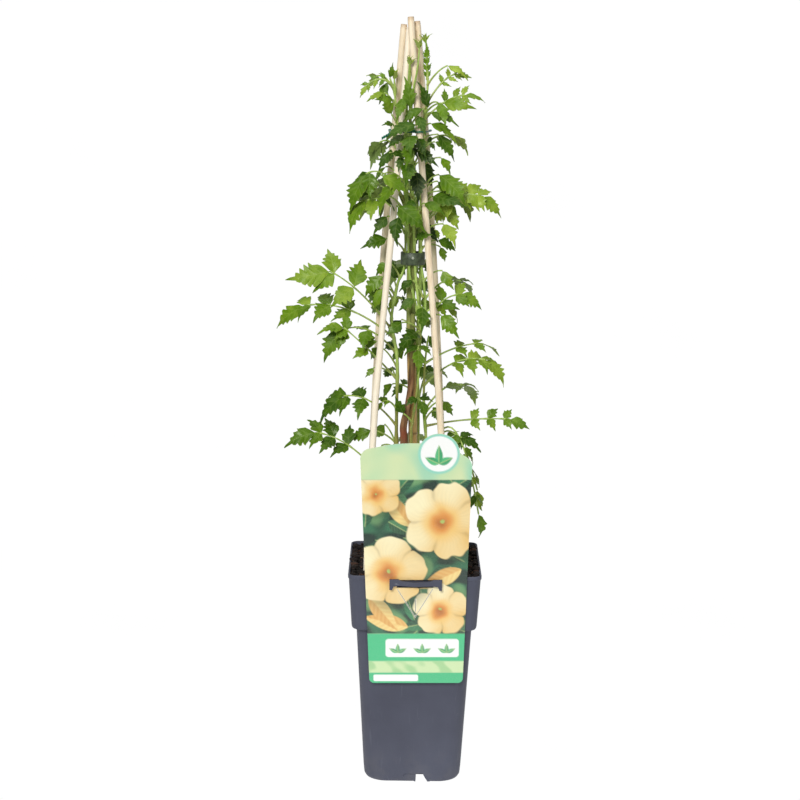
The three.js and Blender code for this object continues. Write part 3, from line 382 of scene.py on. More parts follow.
def wire_line():
    """Closed line round the four sticks, a little clear of them."""
    centres = stick_centres(WIRE["height"])
    reach = STICK_RADIUS + WIRE["radius"] + WIRE["spare"]
    line = []
    for i, centre in enumerate(centres):
        level = vec(centre[0], centre[1], WIRE["height"])
        for a, b in ((centres[i - 1], centre), (centre, centres[(i + 1) % 4])):
            along = unit((b - a) * (1, 1, 0))
            line.append(level + vec(along[1], -along[0], 0) * reach)
        corner = ((line[-1] + line[-2]) / 2 - centre) * (1, 1, 0)
        line.insert(-1, level + unit(corner) * reach)
    return np.array(line)


STEM_LINES = {name: np.array(points, float) for name, points in STEMS.items()}
SHOOT_OF = {stem: shoot for shoot, stems in SHOOTS.items() for stem in stems}


class Obstacles:
    """Straight lengths with a radius and an owner, which leaflets of others keep clear of."""

    def __init__(self):
        self.rows = []
        for points in STICKS.values():
            self.line(smooth(points, 12), STICK_RADIUS)
        self.line(smooth(CANE, 6), CANE_RADIUS)
        self.line(smooth(TRUNK, 8), max(TRUNK_RADII))
        wire = wire_line()
        self.line(np.vstack([wire, wire[:1]]), WIRE["radius"])
        self.line(np.array(WIRE["tail"], float), WIRE["knot"])
        for name, line in STEM_LINES.items():
            self.line(line, STEM_RADIUS["foot"], SHOOT_OF[name])
        band = vec(BAND["x"], BAND["y"], BAND["bottom"])
        self.line([band, band + UP * BAND["height"]], BAND["half_width"] + BAND["thickness"])

    def line(self, points, radius, owner=None):
        for a, b in zip(points, points[1:]):
            self.rows.append((a, b - a, radius, owner))

    def clear(self, point, shoot, number):
        others = [row for row in self.rows if row[3] != shoot and row[3] != number]
        starts, ways = np.array([row[0] for row in others]), np.array([row[1] for row in others])
        t = np.clip(((point - starts) * ways).sum(1) / (ways ** 2).sum(1), 0, 1)
        away = np.linalg.norm(starts + ways * t[:, None] - point, axis=1)
        return bool((away > np.array([row[2] for row in others]) + LEAF_CLEARANCE).all())


OBSTACLES = Obstacles()


def keeper_of(x, y, z):
    """Which shoot's space a point lies in."""
    out = x - AXIS_X
    if -out > abs(y):
        return "shoot_left"
    if y > abs(out):
        return "shoot_back"
    return "shoot_low" if out > abs(y) and z < LOW_SHOOT_TOP else "shoot_main"


def is_clear(point, shoot, number):
    x, y, z = point
    if keeper_of(x, y, z) != shoot or z < LEAF_FLOOR:
        return False
    if y < LABEL_SPACE["back"] and z < LABEL_SPACE["top"] and abs(x) < LABEL_SPACE["half"]:
        return False
    return OBSTACLES.clear(point, shoot, number)


def leaf_point(leaf, along, across):
    """Point of a leaflet on its folded and bowed sheet."""
    length, width = leaf["length"], leaf["width"]
    lift = 4 * LEAF_ARCH * along * (1 - along) * length + abs(across) * LEAF_FOLD * width
    return (leaf["root"] + leaf["along"] * (along * length)
            + leaf["across"] * (across * width) + leaf["up"] * lift)


class Rachis:
    """Bowed midrib of a frond, from its root to its end."""

    def __init__(self, root, tip, lift, face):
        self.root, self.tip = root, tip
        self.bow = (root + tip) / 2 + UP * 2 * lift
        tilt = math.radians(face)
        self.facing = vec(0, -math.sin(tilt), math.cos(tilt))

    def point(self, t):
        return (1 - t) ** 2 * self.root + 2 * (1 - t) * t * self.bow + t * t * self.tip

    def tangent(self, t):
        return unit(self.point(min(t + 1e-4, 1)) - self.point(max(t - 1e-4, 0)))

    def over(self, t):
        tangent = self.tangent(t)
        return unit(self.facing - tangent * self.facing.dot(tangent))


def leaf_frame(root, along, over, length, slim):
    """A leaflet's place: root, unit vectors along, across and over it, its length and width."""
    up = unit(over - along * over.dot(along))
    span = LEAF_NARROWING["to"] - LEAF_NARROWING["from"]
    young = min(max((root[2] - LEAF_NARROWING["from"]) / span, 0), 1)
    width = length * slim * LEAF_WIDTH * lerp(1, LEAF_NARROWING["factor"], young)
    return {"root": root, "along": along, "up": up, "across": np.cross(up, along),
            "length": length, "width": width}


def grow_frond(number, stem, height, end, lift, pairs, length, face, droop, first, aside=0):
    """Rachis of a frond with the leaflets that stand clear on it."""
    shoot = SHOOT_OF[stem]
    rachis = Rachis(point_at(STEM_LINES[stem], height), vec(*end), lift, face)
    leaves = []

    def place(t, swing, size, key, slim=1, hang=0):
        tangent = rachis.tangent(t)
        side = np.cross(tangent, rachis.over(t))
        for turn, shrink in TRIES:
            angle = swing * turn + (scatter(key) - 0.5) * CHANCE["swing"]
            along = tangent * math.cos(angle) + side * math.sin(angle)
            sink = droop * (1 + CHANCE["droop"] * (scatter(key + 1) - 0.5)) + hang
            lean = rachis.facing + side * (scatter(key + 2) - 0.5) * CHANCE["lean"]
            leaf = leaf_frame(rachis.point(t), unit(along - UP * sink), lean,
                              length * size * shrink, slim)
            leaf["key"] = key
            if all(is_clear(leaf_point(leaf, l, w), shoot, number) for l, w in LEAF_PROBES):
                foot, middle, point = (leaf_point(leaf, l, 0) for l in (0.2, 0.5, 0.95))
                OBSTACLES.line([foot, middle, point], RIB_ROOM, number)
                leaves.append(leaf)
                return

    for k in range(pairs):
        t = lerp(first, LAST_PAIR, k / max(pairs - 1, 1))
        size = PAIR_SIZE["least"] + PAIR_SIZE["more"] * math.sin(math.pi * (k + 0.7) / pairs)
        swing = SWING["lowest"] - SWING["closing"] * k / pairs
        for hand in (-1, 1):
            place(t, hand * swing, size, number * 40 + k * 8 + hand * 3)
    place(1, aside, TERMINAL["length"], number * 40 + 37, TERMINAL["width"], TERMINAL["droop"])
    return {"rachis": rachis, "leaves": leaves, "stem": stem, "height": height}


FROND_SHAPES = [grow_frond(number, *row) for number, row in enumerate(FRONDS)]
for single in SINGLES:
    *place_on_stem, leaf_length, leaf_face, leaf_droop, leaf_turn = single
    FROND_SHAPES.append(grow_frond(len(FROND_SHAPES), *place_on_stem, 0, leaf_length, leaf_face,
                                   leaf_droop, 1, math.radians(leaf_turn)))


def fill_thicket(zone, chance):
    """Grows single leaflets out of the bundle wherever they still find room."""
    for n in range(zone["count"]):
        draw = [scatter(chance + n * 7 + i) for i in range(6)]
        stem = zone["stems"][n % len(zone["stems"])]
        height, turn = lerp(*zone["heights"], draw[0]), n * 2.4
        reach = lerp(*zone["reach"], draw[1])
        root = point_at(STEM_LINES[stem], height)
        end = root + vec(math.cos(turn) * reach, math.sin(turn) * reach, lerp(6, 20, draw[2]))
        stalk = Rachis(root, end, 3, 60)
        if not all(OBSTACLES.clear(stalk.point(t), SHOOT_OF[stem], -1) for t in (0.4, 0.65, 0.9)):
            continue
        frond = grow_frond(len(FROND_SHAPES), stem, height, tuple(end), 3, 0,
                           lerp(*zone["lengths"], draw[3]), lerp(30, 75, draw[4]),
                           lerp(0.2, 1.5, draw[5]), 1)
        if frond["leaves"]:
            FROND_SHAPES.append(frond)


for zone_number, thicket in enumerate(THICKETS):
    fill_thicket(thicket, THICKET_SEED + 1000 * zone_number)

# ---- Making pieces ----


def linked(name, data):
    """New object in the scene."""
    thing = bpy.data.objects.new(name, data)
    bpy.context.scene.collection.objects.link(thing)
    return thing


def mesh_of(name, points, faces):
    mesh = bpy.data.meshes.new(name)
    mesh.from_pydata((np.asarray(points) * MM).tolist(), [], faces)
    return mesh


def soften(mesh, angle):
    """Smooth shading, with edges sharper than the angle kept sharp."""
    mesh.shade_smooth()
    mesh.set_sharp_from_angle(angle=math.radians(angle))


def place_piece(thing, solid):
    """Puts a piece in the place of a solid."""
    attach(thing, "root")
    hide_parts(solid)


class Body:
    """Points, faces and paint of one piece while it is put together."""

    def __init__(self):
        self.points, self.faces, self.uv, self.tint, self.slots = [], [], [], [], []
        self.count = 0

    def add(self, points, faces, uv=None, tint=(0.5, 0.5, 0, 1), slot=0):
        points = np.asarray(points, float)
        n = len(points)
        self.points.append(points)
        self.faces += [tuple(i + self.count for i in face) for face in faces]
        self.slots += [slot] * len(faces)
        self.uv.append(np.zeros((n, 2)) if uv is None else uv)
        self.tint.append(np.broadcast_to(np.asarray(tint, float), (n, 4)))
        self.count += n

    def piece(self, name, materials, solid, angle):
        mesh = mesh_of(name, np.vstack(self.points), self.faces)
        corners = np.zeros(len(mesh.loops), int)
        mesh.loops.foreach_get("vertex_index", corners)
        uv = np.vstack(self.uv)[corners].ravel().astype(np.float32)
        mesh.uv_layers.new(name="UVMap").data.foreach_set("uv", uv)
        tint = np.vstack(self.tint).ravel().astype(np.float32)
        mesh.attributes.new("tint", "FLOAT_COLOR", "POINT").data.foreach_set("color", tint)
        for material in materials:
            mesh.materials.append(material)
        mesh.polygons.foreach_set("material_index", self.slots)
        soften(mesh, angle)
        place_piece(linked(name, mesh), solid)


def simple_piece(name, material, solid, shape, tint, angle=50):
    """Piece of one shape and one material."""
    body = Body()
    body.add(*shape, tint=tint)
    body.piece(name, [material], solid, angle)


def tints(count, red=0.0, green=0.0):
    """Rows of paint, which each material reads in its own way."""
    rows = np.zeros((count, 4))
    rows[:, 0], rows[:, 1], rows[:, 3] = red, green, 1
    return rows


def over_rings(values, sides):
    """One value a ring for all its points, and none for the middles of the two ends."""
    return np.append(np.repeat(values, sides), [0, 0])


def ring_faces(rings, sides, closed=False):
    faces = []
    for r in range(rings if closed else rings - 1):
        for i in range(sides):
            a, b = r * sides + i, r * sides + (i + 1) % sides
            c, d = (a + sides) % (rings * sides), (b + sides) % (rings * sides)
            faces.append((a, b, d, c))
    return faces


def flipped(faces):
    return [face[::-1] for face in faces]


def loft(rings):
    """Closed solid through rings of equal count, with a fan over each end."""
    sides = len(rings[0])
    points = np.vstack([*rings, np.mean(rings[0], axis=0), np.mean(rings[-1], axis=0)])
    faces = ring_faces(len(rings), sides)
    first, last = len(points) - 2, len(points) - 1
    top = (len(rings) - 1) * sides
    for i in range(sides):
        faces.append(((i + 1) % sides, i, first))
    for i in range(sides):
        faces.append((top + i, top + (i + 1) % sides, last))
    return points, faces


def tube(line, radius, sides, closed=False):
    """Round bar along a line. radius is a number, one for each ring, or one for each point."""
    line = np.asarray(line, float)
    if closed:
        tangents = np.roll(line, -1, 0) - np.roll(line, 1, 0)
    else:
        tangents = np.gradient(line, axis=0)
    tangents /= np.linalg.norm(tangents, axis=1)[:, None]
    side = vec(1, 0, 0) if abs(tangents[0][2]) > 0.9 else vec(0, 0, 1)
    rows = []
    for tangent in tangents:
        side = unit(side - tangent * side.dot(tangent))
        rows.append(side)
    rows = np.array(rows)
    across = np.cross(tangents, rows)
    radius = np.asarray(radius, float)
    radius = radius[:, None] if radius.ndim == 1 else radius
    radius = np.broadcast_to(radius, (len(line), sides))
    angle = circle(sides)
    points = (line[:, None] + rows[:, None] * (np.cos(angle) * radius)[..., None]
              + across[:, None] * (np.sin(angle) * radius)[..., None])
    if closed:
        return points.reshape(-1, 3), ring_faces(len(line), sides, True)
    return loft(points)


# ---- Materials ----


def paint(red, green, blue):
    """Linear colour of an 8-bit screen colour."""
    parts = [value / 255 for value in (red, green, blue)]
    return tuple(c / 12.92 if c <= 0.04045 else ((c + 0.055) / 1.055) ** 2.4
                 for c in parts) + (1,)


class Shader:
    """One node material, with short ways to add what the finishes need."""

    def __init__(self, name, **fixed):
        self.material = bpy.data.materials.new(name)
        self.material.use_nodes = True
        self.tree = self.material.node_tree
        self.surface = self.tree.nodes["Principled BSDF"]
        self.coordinates = self.node("ShaderNodeTexCoord").outputs["Object"]
        for socket, value in fixed.items():
            self.surface.inputs[socket.replace("_", " ")].default_value = value

    def node(self, kind, values=(), **options):
        node = self.tree.nodes.new(kind)
        for key, value in options.items():
            setattr(node, key, value)
        for socket, value in dict(values).items():
            self.feed(node.inputs[socket], value)
        return node

    def feed(self, socket, value):
        if isinstance(value, bpy.types.NodeSocket):
            self.tree.links.new(value, socket)
        else:
            socket.default_value = value

    def set(self, socket, value):
        self.feed(self.surface.inputs[socket], value)

    def noise(self, scale, detail=4, vector=None, rough=0.5):
        return self.node("ShaderNodeTexNoise", {
            "Vector": vector or self.coordinates, "Scale": scale, "Detail": detail,
            "Roughness": rough}).outputs["Fac"]

    def grain(self, scale, detail, along, rough=0.5):
        """Noise with its own scale along Z, so that it is drawn out into streaks."""
        stretched = self.node("ShaderNodeMapping", {
            "Vector": self.coordinates, "Scale": (1, 1, along)}).outputs["Vector"]
        return self.noise(scale, detail, stretched, rough)

    def math(self, operation, a, b=0.0, c=0.0):
        return self.node("ShaderNodeMath", {0: a, 1: b, 2: c}, operation=operation).outputs[0]

    def times(self, a, b):
        return self.math("MULTIPLY", a, b)

    def scaled(self, a, factor, base):
        """The value times a factor, on top of a base."""
        return self.math("MULTIPLY_ADD", a, factor, base)

    def span(self, value, low, high, start=0.0, end=1.0):
        return self.node("ShaderNodeMapRange", {
            "Value": value, "From Min": low, "From Max": high, "To Min": start, "To Max": end},
            interpolation_type="SMOOTHSTEP").outputs[0]

    def mix(self, factor, a, b):
        return self.node("ShaderNodeMix", {0: factor, 6: a, 7: b}, data_type="RGBA").outputs[2]

    def wash(self, colour, mask, share, tone):
        """The colour with a tone over it where the mask is, at that share of its strength."""
        return self.mix(self.times(mask, share), colour, tone)

    def ramp(self, value, stops):
        ramp = self.node("ShaderNodeValToRGB", {"Fac": value})
        elements = ramp.color_ramp.elements
        while len(elements) < len(stops):
            elements.new(0.5)
        for element, (place, colour) in zip(elements, stops):
            element.position, element.color = place, colour
        return ramp.outputs["Color"]

    def painted(self):
        return self.node("ShaderNodeAttribute", attribute_name="tint").outputs["Color"]

    def tint(self):
        parts = self.node("ShaderNodeSeparateColor", {"Color": self.painted()}).outputs
        return parts["Red"], parts["Green"], parts["Blue"]

    def bump(self, height, strength, distance):
        self.set("Normal", self.node("ShaderNodeBump", {
            "Height": height, "Strength": strength, "Distance": distance}).outputs["Normal"])


def leaf_material():
    s = Shader("leaf", Specular_IOR_Level=0.36, Specular_Tint=(0.94, 1, 0.72, 1))
    shade, gloss, under = s.tint()
    uv = s.node("ShaderNodeSeparateXYZ", {
        "Vector": s.node("ShaderNodeTexCoord").outputs["UV"]}).outputs
    out = s.math("ABSOLUTE", uv["X"])
    vein = s.math("PINGPONG", uv["Y"], 0.5)
    width = s.scaled(out, -0.05, 0.1)
    side_vein = s.math("SUBTRACT", 1.0, s.span(s.math("DIVIDE", vein, width), 0.25, 1.0))
    rib = s.math("SUBTRACT", 1.0, s.span(out, 0.015, 0.07))
    veins = s.math("MAXIMUM", s.times(side_vein, 0.55), rib)
    blotch = s.noise(90, 5)
    fine = s.noise(900, 3)
    level = s.scaled(s.math("SUBTRACT", blotch, 0.5), 0.5, shade)
    colour = s.ramp(level, [
        (0.0, paint(20, 48, 1)), (0.3, paint(52, 88, 2)), (0.6, paint(96, 132, 16)),
        (1.0, paint(170, 190, 68))])
    colour = s.wash(colour, veins, 0.18, paint(172, 190, 104))
    rim = s.span(out, 0.86, 1.0)
    colour = s.wash(colour, rim, 0.2, paint(160, 168, 70))
    colour = s.wash(colour, under, 0.5, paint(136, 154, 92))
    s.set("Base Color", colour)
    rough = s.scaled(gloss, -0.2, 0.48)
    s.set("Roughness", s.scaled(under, 0.12, s.scaled(fine, 0.1, rough)))
    relief = s.scaled(veins, -0.4, s.times(fine, 0.35))
    s.bump(s.math("ADD", relief, s.times(blotch, 0.5)), 0.5, 0.0004)
    return s.material


def stem_material():
    s = Shader("stem", Roughness=0.5)
    age, red, _ = s.tint()
    streak = s.grain(260, 4, 0.12)
    dots = s.span(s.grain(700, 2, 0.4), 0.64, 0.72)
    green = s.ramp(streak, [(0.3, paint(120, 154, 48)), (0.7, paint(186, 210, 112))])
    woody = s.ramp(streak, [(0.3, paint(110, 84, 50)), (0.7, paint(160, 132, 84))])
    colour = s.mix(age, green, woody)
    colour = s.wash(colour, red, 0.8, paint(118, 62, 40))
    colour = s.wash(colour, dots, 0.4, paint(214, 214, 160))
    s.set("Base Color", colour)
    s.bump(s.math("ADD", streak, dots), 0.4, 0.0003)
    return s.material


def stick_material():
    s = Shader("peeled_wood")
    pale, end, _ = s.tint()
    grain = s.grain(420, 6, 0.035, 0.6)
    fibre = s.grain(1500, 3, 0.02)
    cloud = s.grain(9, 3, 0.5)
    colour = s.ramp(grain, [
        (0.28, paint(216, 186, 146)), (0.48, paint(246, 226, 192)), (0.72, paint(254, 242, 216))])
    colour = s.mix(s.span(cloud, 0.45, 0.75, 0.0, 0.35), colour, paint(232, 204, 164))
    colour = s.mix(s.span(fibre, 0.62, 0.75, 0.0, 0.3), colour, paint(178, 140, 98))
    colour = s.wash(colour, end, 0.6, paint(170, 132, 92))
    # Painted light: the paler tint mixes the wood towards near white.
    s.set("Base Color", s.mix(pale, colour, paint(255, 247, 228)))
    s.set("Roughness", s.span(grain, 0.3, 0.7, 0.75, 0.55))
    s.bump(s.math("ADD", grain, fibre), 0.35, 0.0004)
    return s.material


def bamboo_material():
    s = Shader("bamboo")
    node, young, _ = s.tint()
    streak = s.grain(330, 5, 0.04, 0.6)
    stain = s.grain(45, 4, 0.35)
    colour = s.ramp(streak, [
        (0.3, paint(150, 108, 54)), (0.5, paint(190, 152, 88)), (0.7, paint(214, 182, 120))])
    colour = s.mix(s.span(stain, 0.5, 0.72, 0.0, 0.7), colour, paint(112, 76, 40))
    colour = s.wash(colour, node, 0.75, paint(84, 58, 36))
    green = s.ramp(streak, [(0.3, paint(92, 120, 40)), (0.7, paint(150, 176, 92))])
    s.set("Base Color", s.wash(colour, young, 0.8, green))
    s.set("Roughness", s.span(stain, 0.4, 0.7, 0.36, 0.6))
    s.bump(streak, 0.3, 0.0004)
    return s.material


def bark_material():
    s = Shader("bark", Roughness=0.85)
    node, young, _ = s.tint()
    ridge = s.grain(240, 6, 0.14, 0.65)
    patch = s.grain(60, 3, 0.3)
    colour = s.ramp(ridge, [
        (0.3, paint(56, 38, 24)), (0.48, paint(112, 76, 46)), (0.7, paint(168, 128, 86))])
    colour = s.mix(s.span(patch, 0.5, 0.7, 0.0, 0.5), colour, paint(142, 112, 82))
    colour = s.wash(colour, node, 0.7, paint(134, 62, 34))
    green = s.ramp(ridge, [(0.3, paint(84, 104, 38)), (0.7, paint(146, 162, 84))])
    s.set("Base Color", s.wash(colour, young, 0.8, green))
    s.bump(ridge, 0.8, 0.0012)
    return s.material


def pot_material():
    s = Shader("pot_plastic", Specular_IOR_Level=0.2)
    cloud = s.noise(14, 4)
    fine = s.noise(1100, 2)
    brushed = s.grain(320, 4, 0.08)
    height = s.node("ShaderNodeSeparateXYZ", {"Vector": s.coordinates}).outputs["Z"]
    colour = s.ramp(cloud, [(0.3, paint(72, 74, 87)), (0.7, paint(84, 87, 101))])
    colour = s.mix(s.span(brushed, 0.6, 0.8, 0.0, 0.2), colour, paint(112, 115, 128))
    dust = s.times(s.span(height, 0.05, 0.0), s.span(s.noise(70, 5), 0.4, 0.7))
    colour = s.wash(colour, dust, 0.1, paint(138, 132, 122))
    scuff = s.span(s.grain(55, 6, 1.9, 0.7), 0.66, 0.74)
    colour = s.wash(colour, scuff, 0.35, paint(158, 160, 168))
    s.set("Base Color", colour)
    s.set("Roughness", s.scaled(scuff, 0.2, s.span(cloud, 0.3, 0.7, 0.5, 0.6)))
    s.bump(s.math("ADD", fine, s.times(brushed, 0.7)), 0.25, 0.0003)
    return s.material


def soil_material():
    s = Shader("compost", Roughness=0.95)
    shade, _, _ = s.tint()
    grit = s.noise(420, 6, rough=0.7)
    level = s.scaled(s.math("SUBTRACT", grit, 0.5), 0.6, shade)
    s.set("Base Color", s.ramp(level, [
        (0.0, paint(12, 9, 8)), (0.4, paint(36, 25, 20)), (0.7, paint(92, 60, 44)),
        (1.0, paint(170, 138, 104))]))
    s.bump(grit, 0.9, 0.0012)
    return s.material


def card_material():
    s = Shader("printed_card", Roughness=0.3, Coat_Weight=0.35, Coat_Roughness=0.12)
    screen = s.noise(2600, 1)
    colour = s.mix(s.span(screen, 0.3, 0.7, 0.0, 0.07), s.painted(), paint(250, 250, 240))
    s.set("Base Color", colour)
    wave = s.noise(16, 2)
    s.bump(s.scaled(screen, 0.04, wave), 0.25, 0.0012)
    return s.material


def strap_material(name, dark, light, rough):
    s = Shader(name)
    wear = s.noise(300, 4)
    fine = s.noise(1500, 2)
    s.set("Base Color", s.ramp(wear, [(0.3, dark), (0.7, light)]))
    s.set("Roughness", s.span(wear, 0.3, 0.7, rough, rough + 0.2))
    s.bump(fine, 0.25, 0.0003)
    return s.material


def backdrop_material():
    s = Shader("backdrop", Base_Color=(0, 0, 0, 1), Specular_IOR_Level=0, Emission_Strength=1)
    s.set("Emission Color", s.ramp(s.noise(3, 2), [
        (0.3, (1, 1, 1, 1)), (0.7, (1.02, 1.02, 1.02, 1))]))
    return s.material


LEAF, STEM = leaf_material(), stem_material()

# ---- Leaflets, rachises and stems ----

LEAF_CARD = 0.36      # thickness of a leaflet
HALF_COLUMNS = 4
TOOTH_LENGTHS = (24, 38)     # longer leaflets have a third and then a fourth pair of teeth
# Half width of a leaflet by its place along the rib: broad below the middle, with a drawn-out tip.
LEAF_PLACES = [0, 0.05, 0.1, 0.2, 0.3, 0.4, 0.5, 0.6, 0.7, 0.78, 0.86, 0.93, 1]
LEAF_HALVES = [0.02, 0.06, 0.17, 0.37, 0.5, 0.53, 0.48, 0.38, 0.25, 0.15, 0.09, 0.05, 0.01]


def leaf_rows(teeth):
    """Rows of a leaflet along its side veins: place on the rib, place and half width at the
    edge, and the count of veins passed."""
    def envelope(l):
        return float(np.interp(l, LEAF_PLACES, LEAF_HALVES))

    start, end = 0.36, 0.8
    step = (end - start) / teeth
    rows = [(0.0, 0.022, -1.5), (0.04, 0.022, -1.4), (0.1, envelope(0.1), -1.25),
            (0.16, envelope(0.16), -1), (0.23, envelope(0.23), -0.6)]
    for k in range(teeth):
        tip = start + (k + 0.62) * step
        rows += [(tip - 0.5 * step, envelope(tip - 0.5 * step) * 0.97, k - 0.35),
                 (tip - 0.12 * step, envelope(tip - 0.3 * step) * 1.05, k - 0.1),
                 (tip + 0.04 * step, envelope(tip - 0.1 * step) * 0.97, k),
                 (tip + 0.1 * step, envelope(tip + 0.1 * step) * 0.7, k + 0.2)]
    rows += [(0.88, envelope(0.88), teeth - 0.5), (0.94, envelope(0.94), teeth - 0.5),
             (1.0, 0.006, teeth - 0.5)]
    edge, half, phase = (np.array(column) for column in zip(*rows))
    rib = np.maximum.accumulate(edge - 0.46 * half + np.arange(len(rows)) * 1e-4)
    rib = np.clip(rib - rib[0], 0, None) / (rib[-1] - rib[0])
    return rib, edge, half, phase


LEAF_ROWS = {teeth: leaf_rows(teeth) for teeth in (2, 3, 4)}


def add_leaflet(body, leaf, shade):
    length, width, key = leaf["length"], leaf["width"], leaf["key"]
    teeth = 2 + sum(length > least for least in TOOTH_LENGTHS)
    rib, edge, half, phase = LEAF_ROWS[teeth]
    u = np.linspace(-1, 1, 2 * HALF_COLUMNS + 1)
    out = np.abs(u)[None, :]
    place = lerp(rib[:, None], edge[:, None], out) - 0.02 * np.sin(math.pi * out) * half[:, None]
    uneven = 1 + 0.13 * np.sin(np.arange(len(edge)) * 1.7 + key)[:, None] * np.sign(u)
    across = u[None, :] * half[:, None] * uneven
    body_of_leaf = smoothstep(0.05, 0.2, place)
    fold = (np.sqrt(across ** 2 + 0.03 ** 2) - 0.03) * LEAF_FOLD * width / length
    belly = -0.05 * out ** 2 * half[:, None] * 2
    quilt = -0.008 * np.cos(2 * math.pi * phase)[:, None] * np.sin(math.pi * out)
    wave = 0.022 * np.sin(2 * math.pi * (1.7 * place + scatter(key + 5)) + u) * out ** 2
    curl = -(0.2 + 0.5 * scatter(key + 6)) * np.clip(place - 0.55, 0, None) ** 2
    twist = (scatter(key + 9) - 0.5) * place * across * width / length
    lift = (4 * LEAF_ARCH * place * (1 - place) + fold + (belly + quilt + wave) * body_of_leaf
            + curl + twist)
    sway = 0.16 * (scatter(key + 10) - 0.5) * (place ** 2 - 0.6 * place) * 2
    sheet = (leaf["root"] + leaf["along"] * (place * length)[..., None]
             + leaf["across"] * (across * width + sway * length)[..., None]
             + leaf["up"] * (lift * length)[..., None])
    thickness = leaf["up"] * LEAF_CARD / 2
    columns, rows = len(u), len(edge)
    n = rows * columns
    index = np.arange(n).reshape(rows, columns)
    a, b, c, d = (part.ravel() for part in (
        index[:-1, :-1], index[1:, :-1], index[1:, 1:], index[:-1, 1:]))
    faces = list(zip(a, b, c, d)) + list(zip(a + n, d + n, c + n, b + n))
    border = (list(index[:, 0]) + list(index[-1, 1:]) + list(index[-2::-1, -1])
              + list(index[0, -2:0:-1]))
    faces += [(p, p + n, q + n, q) for p, q in zip(border, border[1:] + border[:1])]
    points = np.vstack([(sheet + thickness).reshape(-1, 3), (sheet - thickness).reshape(-1, 3)])
    uv = np.stack([np.broadcast_to(u, (rows, columns)).ravel(),
                   np.broadcast_to(phase[:, None], (rows, columns)).ravel() + 2], axis=1)
    tint = tints(2 * n, shade, scatter(key + 7))
    tint[n:, 2] = 1
    body.add(points, [tuple(map(int, face)) for face in faces], np.vstack([uv, uv]), tint)


def add_rachis(body, frond):
    """Midrib of a frond, thicker at its root and at each leaflet."""
    rachis, sides = frond["rachis"], 7
    t = np.linspace(0, 1, 16)
    line = np.array([rachis.point(x) for x in t])
    radius = lerp(1.05, 0.62, t) + 0.5 * bell(t * 12, 1)
    for leaf in frond["leaves"]:
        radius = radius + 0.22 * bell(np.linalg.norm(line - leaf["root"], axis=1), 1.8)
    points, faces = tube(line, radius, sides)
    red = 0.75 * np.exp(-t * 3) * scatter(int(frond["height"]) * 3)
    body.add(points, faces, tint=tints(len(points), 0, over_rings(red, sides)), slot=1)


def add_stem(body, name, foot):
    """Green stem, woody near its foot, with a swelling under each frond. Gives its line back."""
    line = smooth(STEMS[name], (len(STEMS[name]) - 1) * 7)
    radius = lerp(foot, STEM_RADIUS["tip"] * 0.8, np.linspace(0, 1, len(line)))
    for frond in FROND_SHAPES:
        if frond["stem"] == name:
            radius = radius * (1 + 0.35 * bell(line[:, 2] - frond["height"], 2.6))
    points, faces = tube(line, radius, 9)
    tint = tints(len(points), 0.8 * fall(230, 400, points[:, 2]),
                 0.5 * smoothstep(0.4, 0.9, ripple(points, 90, 40 + len(name))))
    body.add(points, faces, tint=tint, slot=1)
    return line


BUD = {"from": 600, "leaflets": 5, "shade": 0.85}     # only stems that end higher have one


def add_bud(body, line, key):
    """Young leaflets still closed round the tip of a stem."""
    tip, way = line[-1], unit(line[-1] - line[-4])
    for k in range(BUD["leaflets"]):
        angle = 2.4 * k + key
        out = unit(np.cross(way, vec(math.cos(angle), math.sin(angle), 0.1)))
        along = unit(way + out * (0.25 + 0.12 * k))
        up = way - along * way.dot(along) - out * 0.2
        leaf = leaf_frame(tip - way * (1.2 * k), along, up, 6.5 + 1.4 * k, 1)
        add_leaflet(body, {**leaf, "key": key * 10 + k}, BUD["shade"])


# Painted light and shade on the foliage, tier by tier: foot, head, left and right of the tier, and
# how much lighter it is. A negative amount paints painted shade under the top of the crown; the
# outer right and the top get painted light.
LIT_AND_SHADED_TIERS = [(545, 655, -200, 5, -0.17), (540, 610, 5, 200, 0.22), (650, 760, -200, 200, 0.16),
         (300, 400, 30, 200, -0.06)]
TIER_EDGE = 15
SHADE_MOST = 0.8


def shade_of(leaf, number):
    """How light a leaflet of a frond is: lighter high up, with painted shade near the axis of the
    bundle and painted light and shade tier by tier.
    """
    x, y, z = leaf["root"]
    # Painted shade: leaflets near the axis, inside the bundle, are made darker.
    inner = fall(8, 38, np.hypot(x - AXIS_X, y + 6))
    height = (z - 300) / 450
    shade = 0.5 + 0.14 * height + 0.36 * (scatter(number * 5 + 2) - 0.4) - 0.4 * inner
    # Painted light and shade of each tier.
    shade += sum(lighter * smoothstep(foot, foot + TIER_EDGE, z) * fall(head - TIER_EDGE, head, z)
                 * smoothstep(left, left + TIER_EDGE, x) * fall(right, right + TIER_EDGE, x)
                 for foot, head, left, right, lighter in LIT_AND_SHADED_TIERS)
    return min(shade + 0.22 * (scatter(leaf["key"] + 8) - 0.5), SHADE_MOST)


def shoot_piece(name, stems):
    """Stems of a shoot with their fronds."""
    body = Body()
    for stem in stems:
        foot = STEM_RADIUS["branch" if STEMS[stem][0][2] > SOIL_LEVEL else "foot"]
        line = add_stem(body, stem, foot)
        if line[-1][2] > BUD["from"]:
            add_bud(body, line, len(stem) + int(line[-1][2]))
    for number, frond in enumerate(FROND_SHAPES):
        if frond["stem"] in stems:
            add_rachis(body, frond)
            for leaf in frond["leaves"]:
                add_leaflet(body, leaf, shade_of(leaf, number))
    body.piece(name + "_leaves", [LEAF, STEM], name, 50)


for shoot, stem_names in SHOOTS.items():
    shoot_piece(shoot, stem_names)

# ---- Sticks, cane and trunk ----

CANE_GREEN, TRUNK_GREEN = (425, 470), (400, 460)     # heights over which they turn young and green
KNEE = {"height": 350, "reach": 7}                   # reddish bend of the trunk


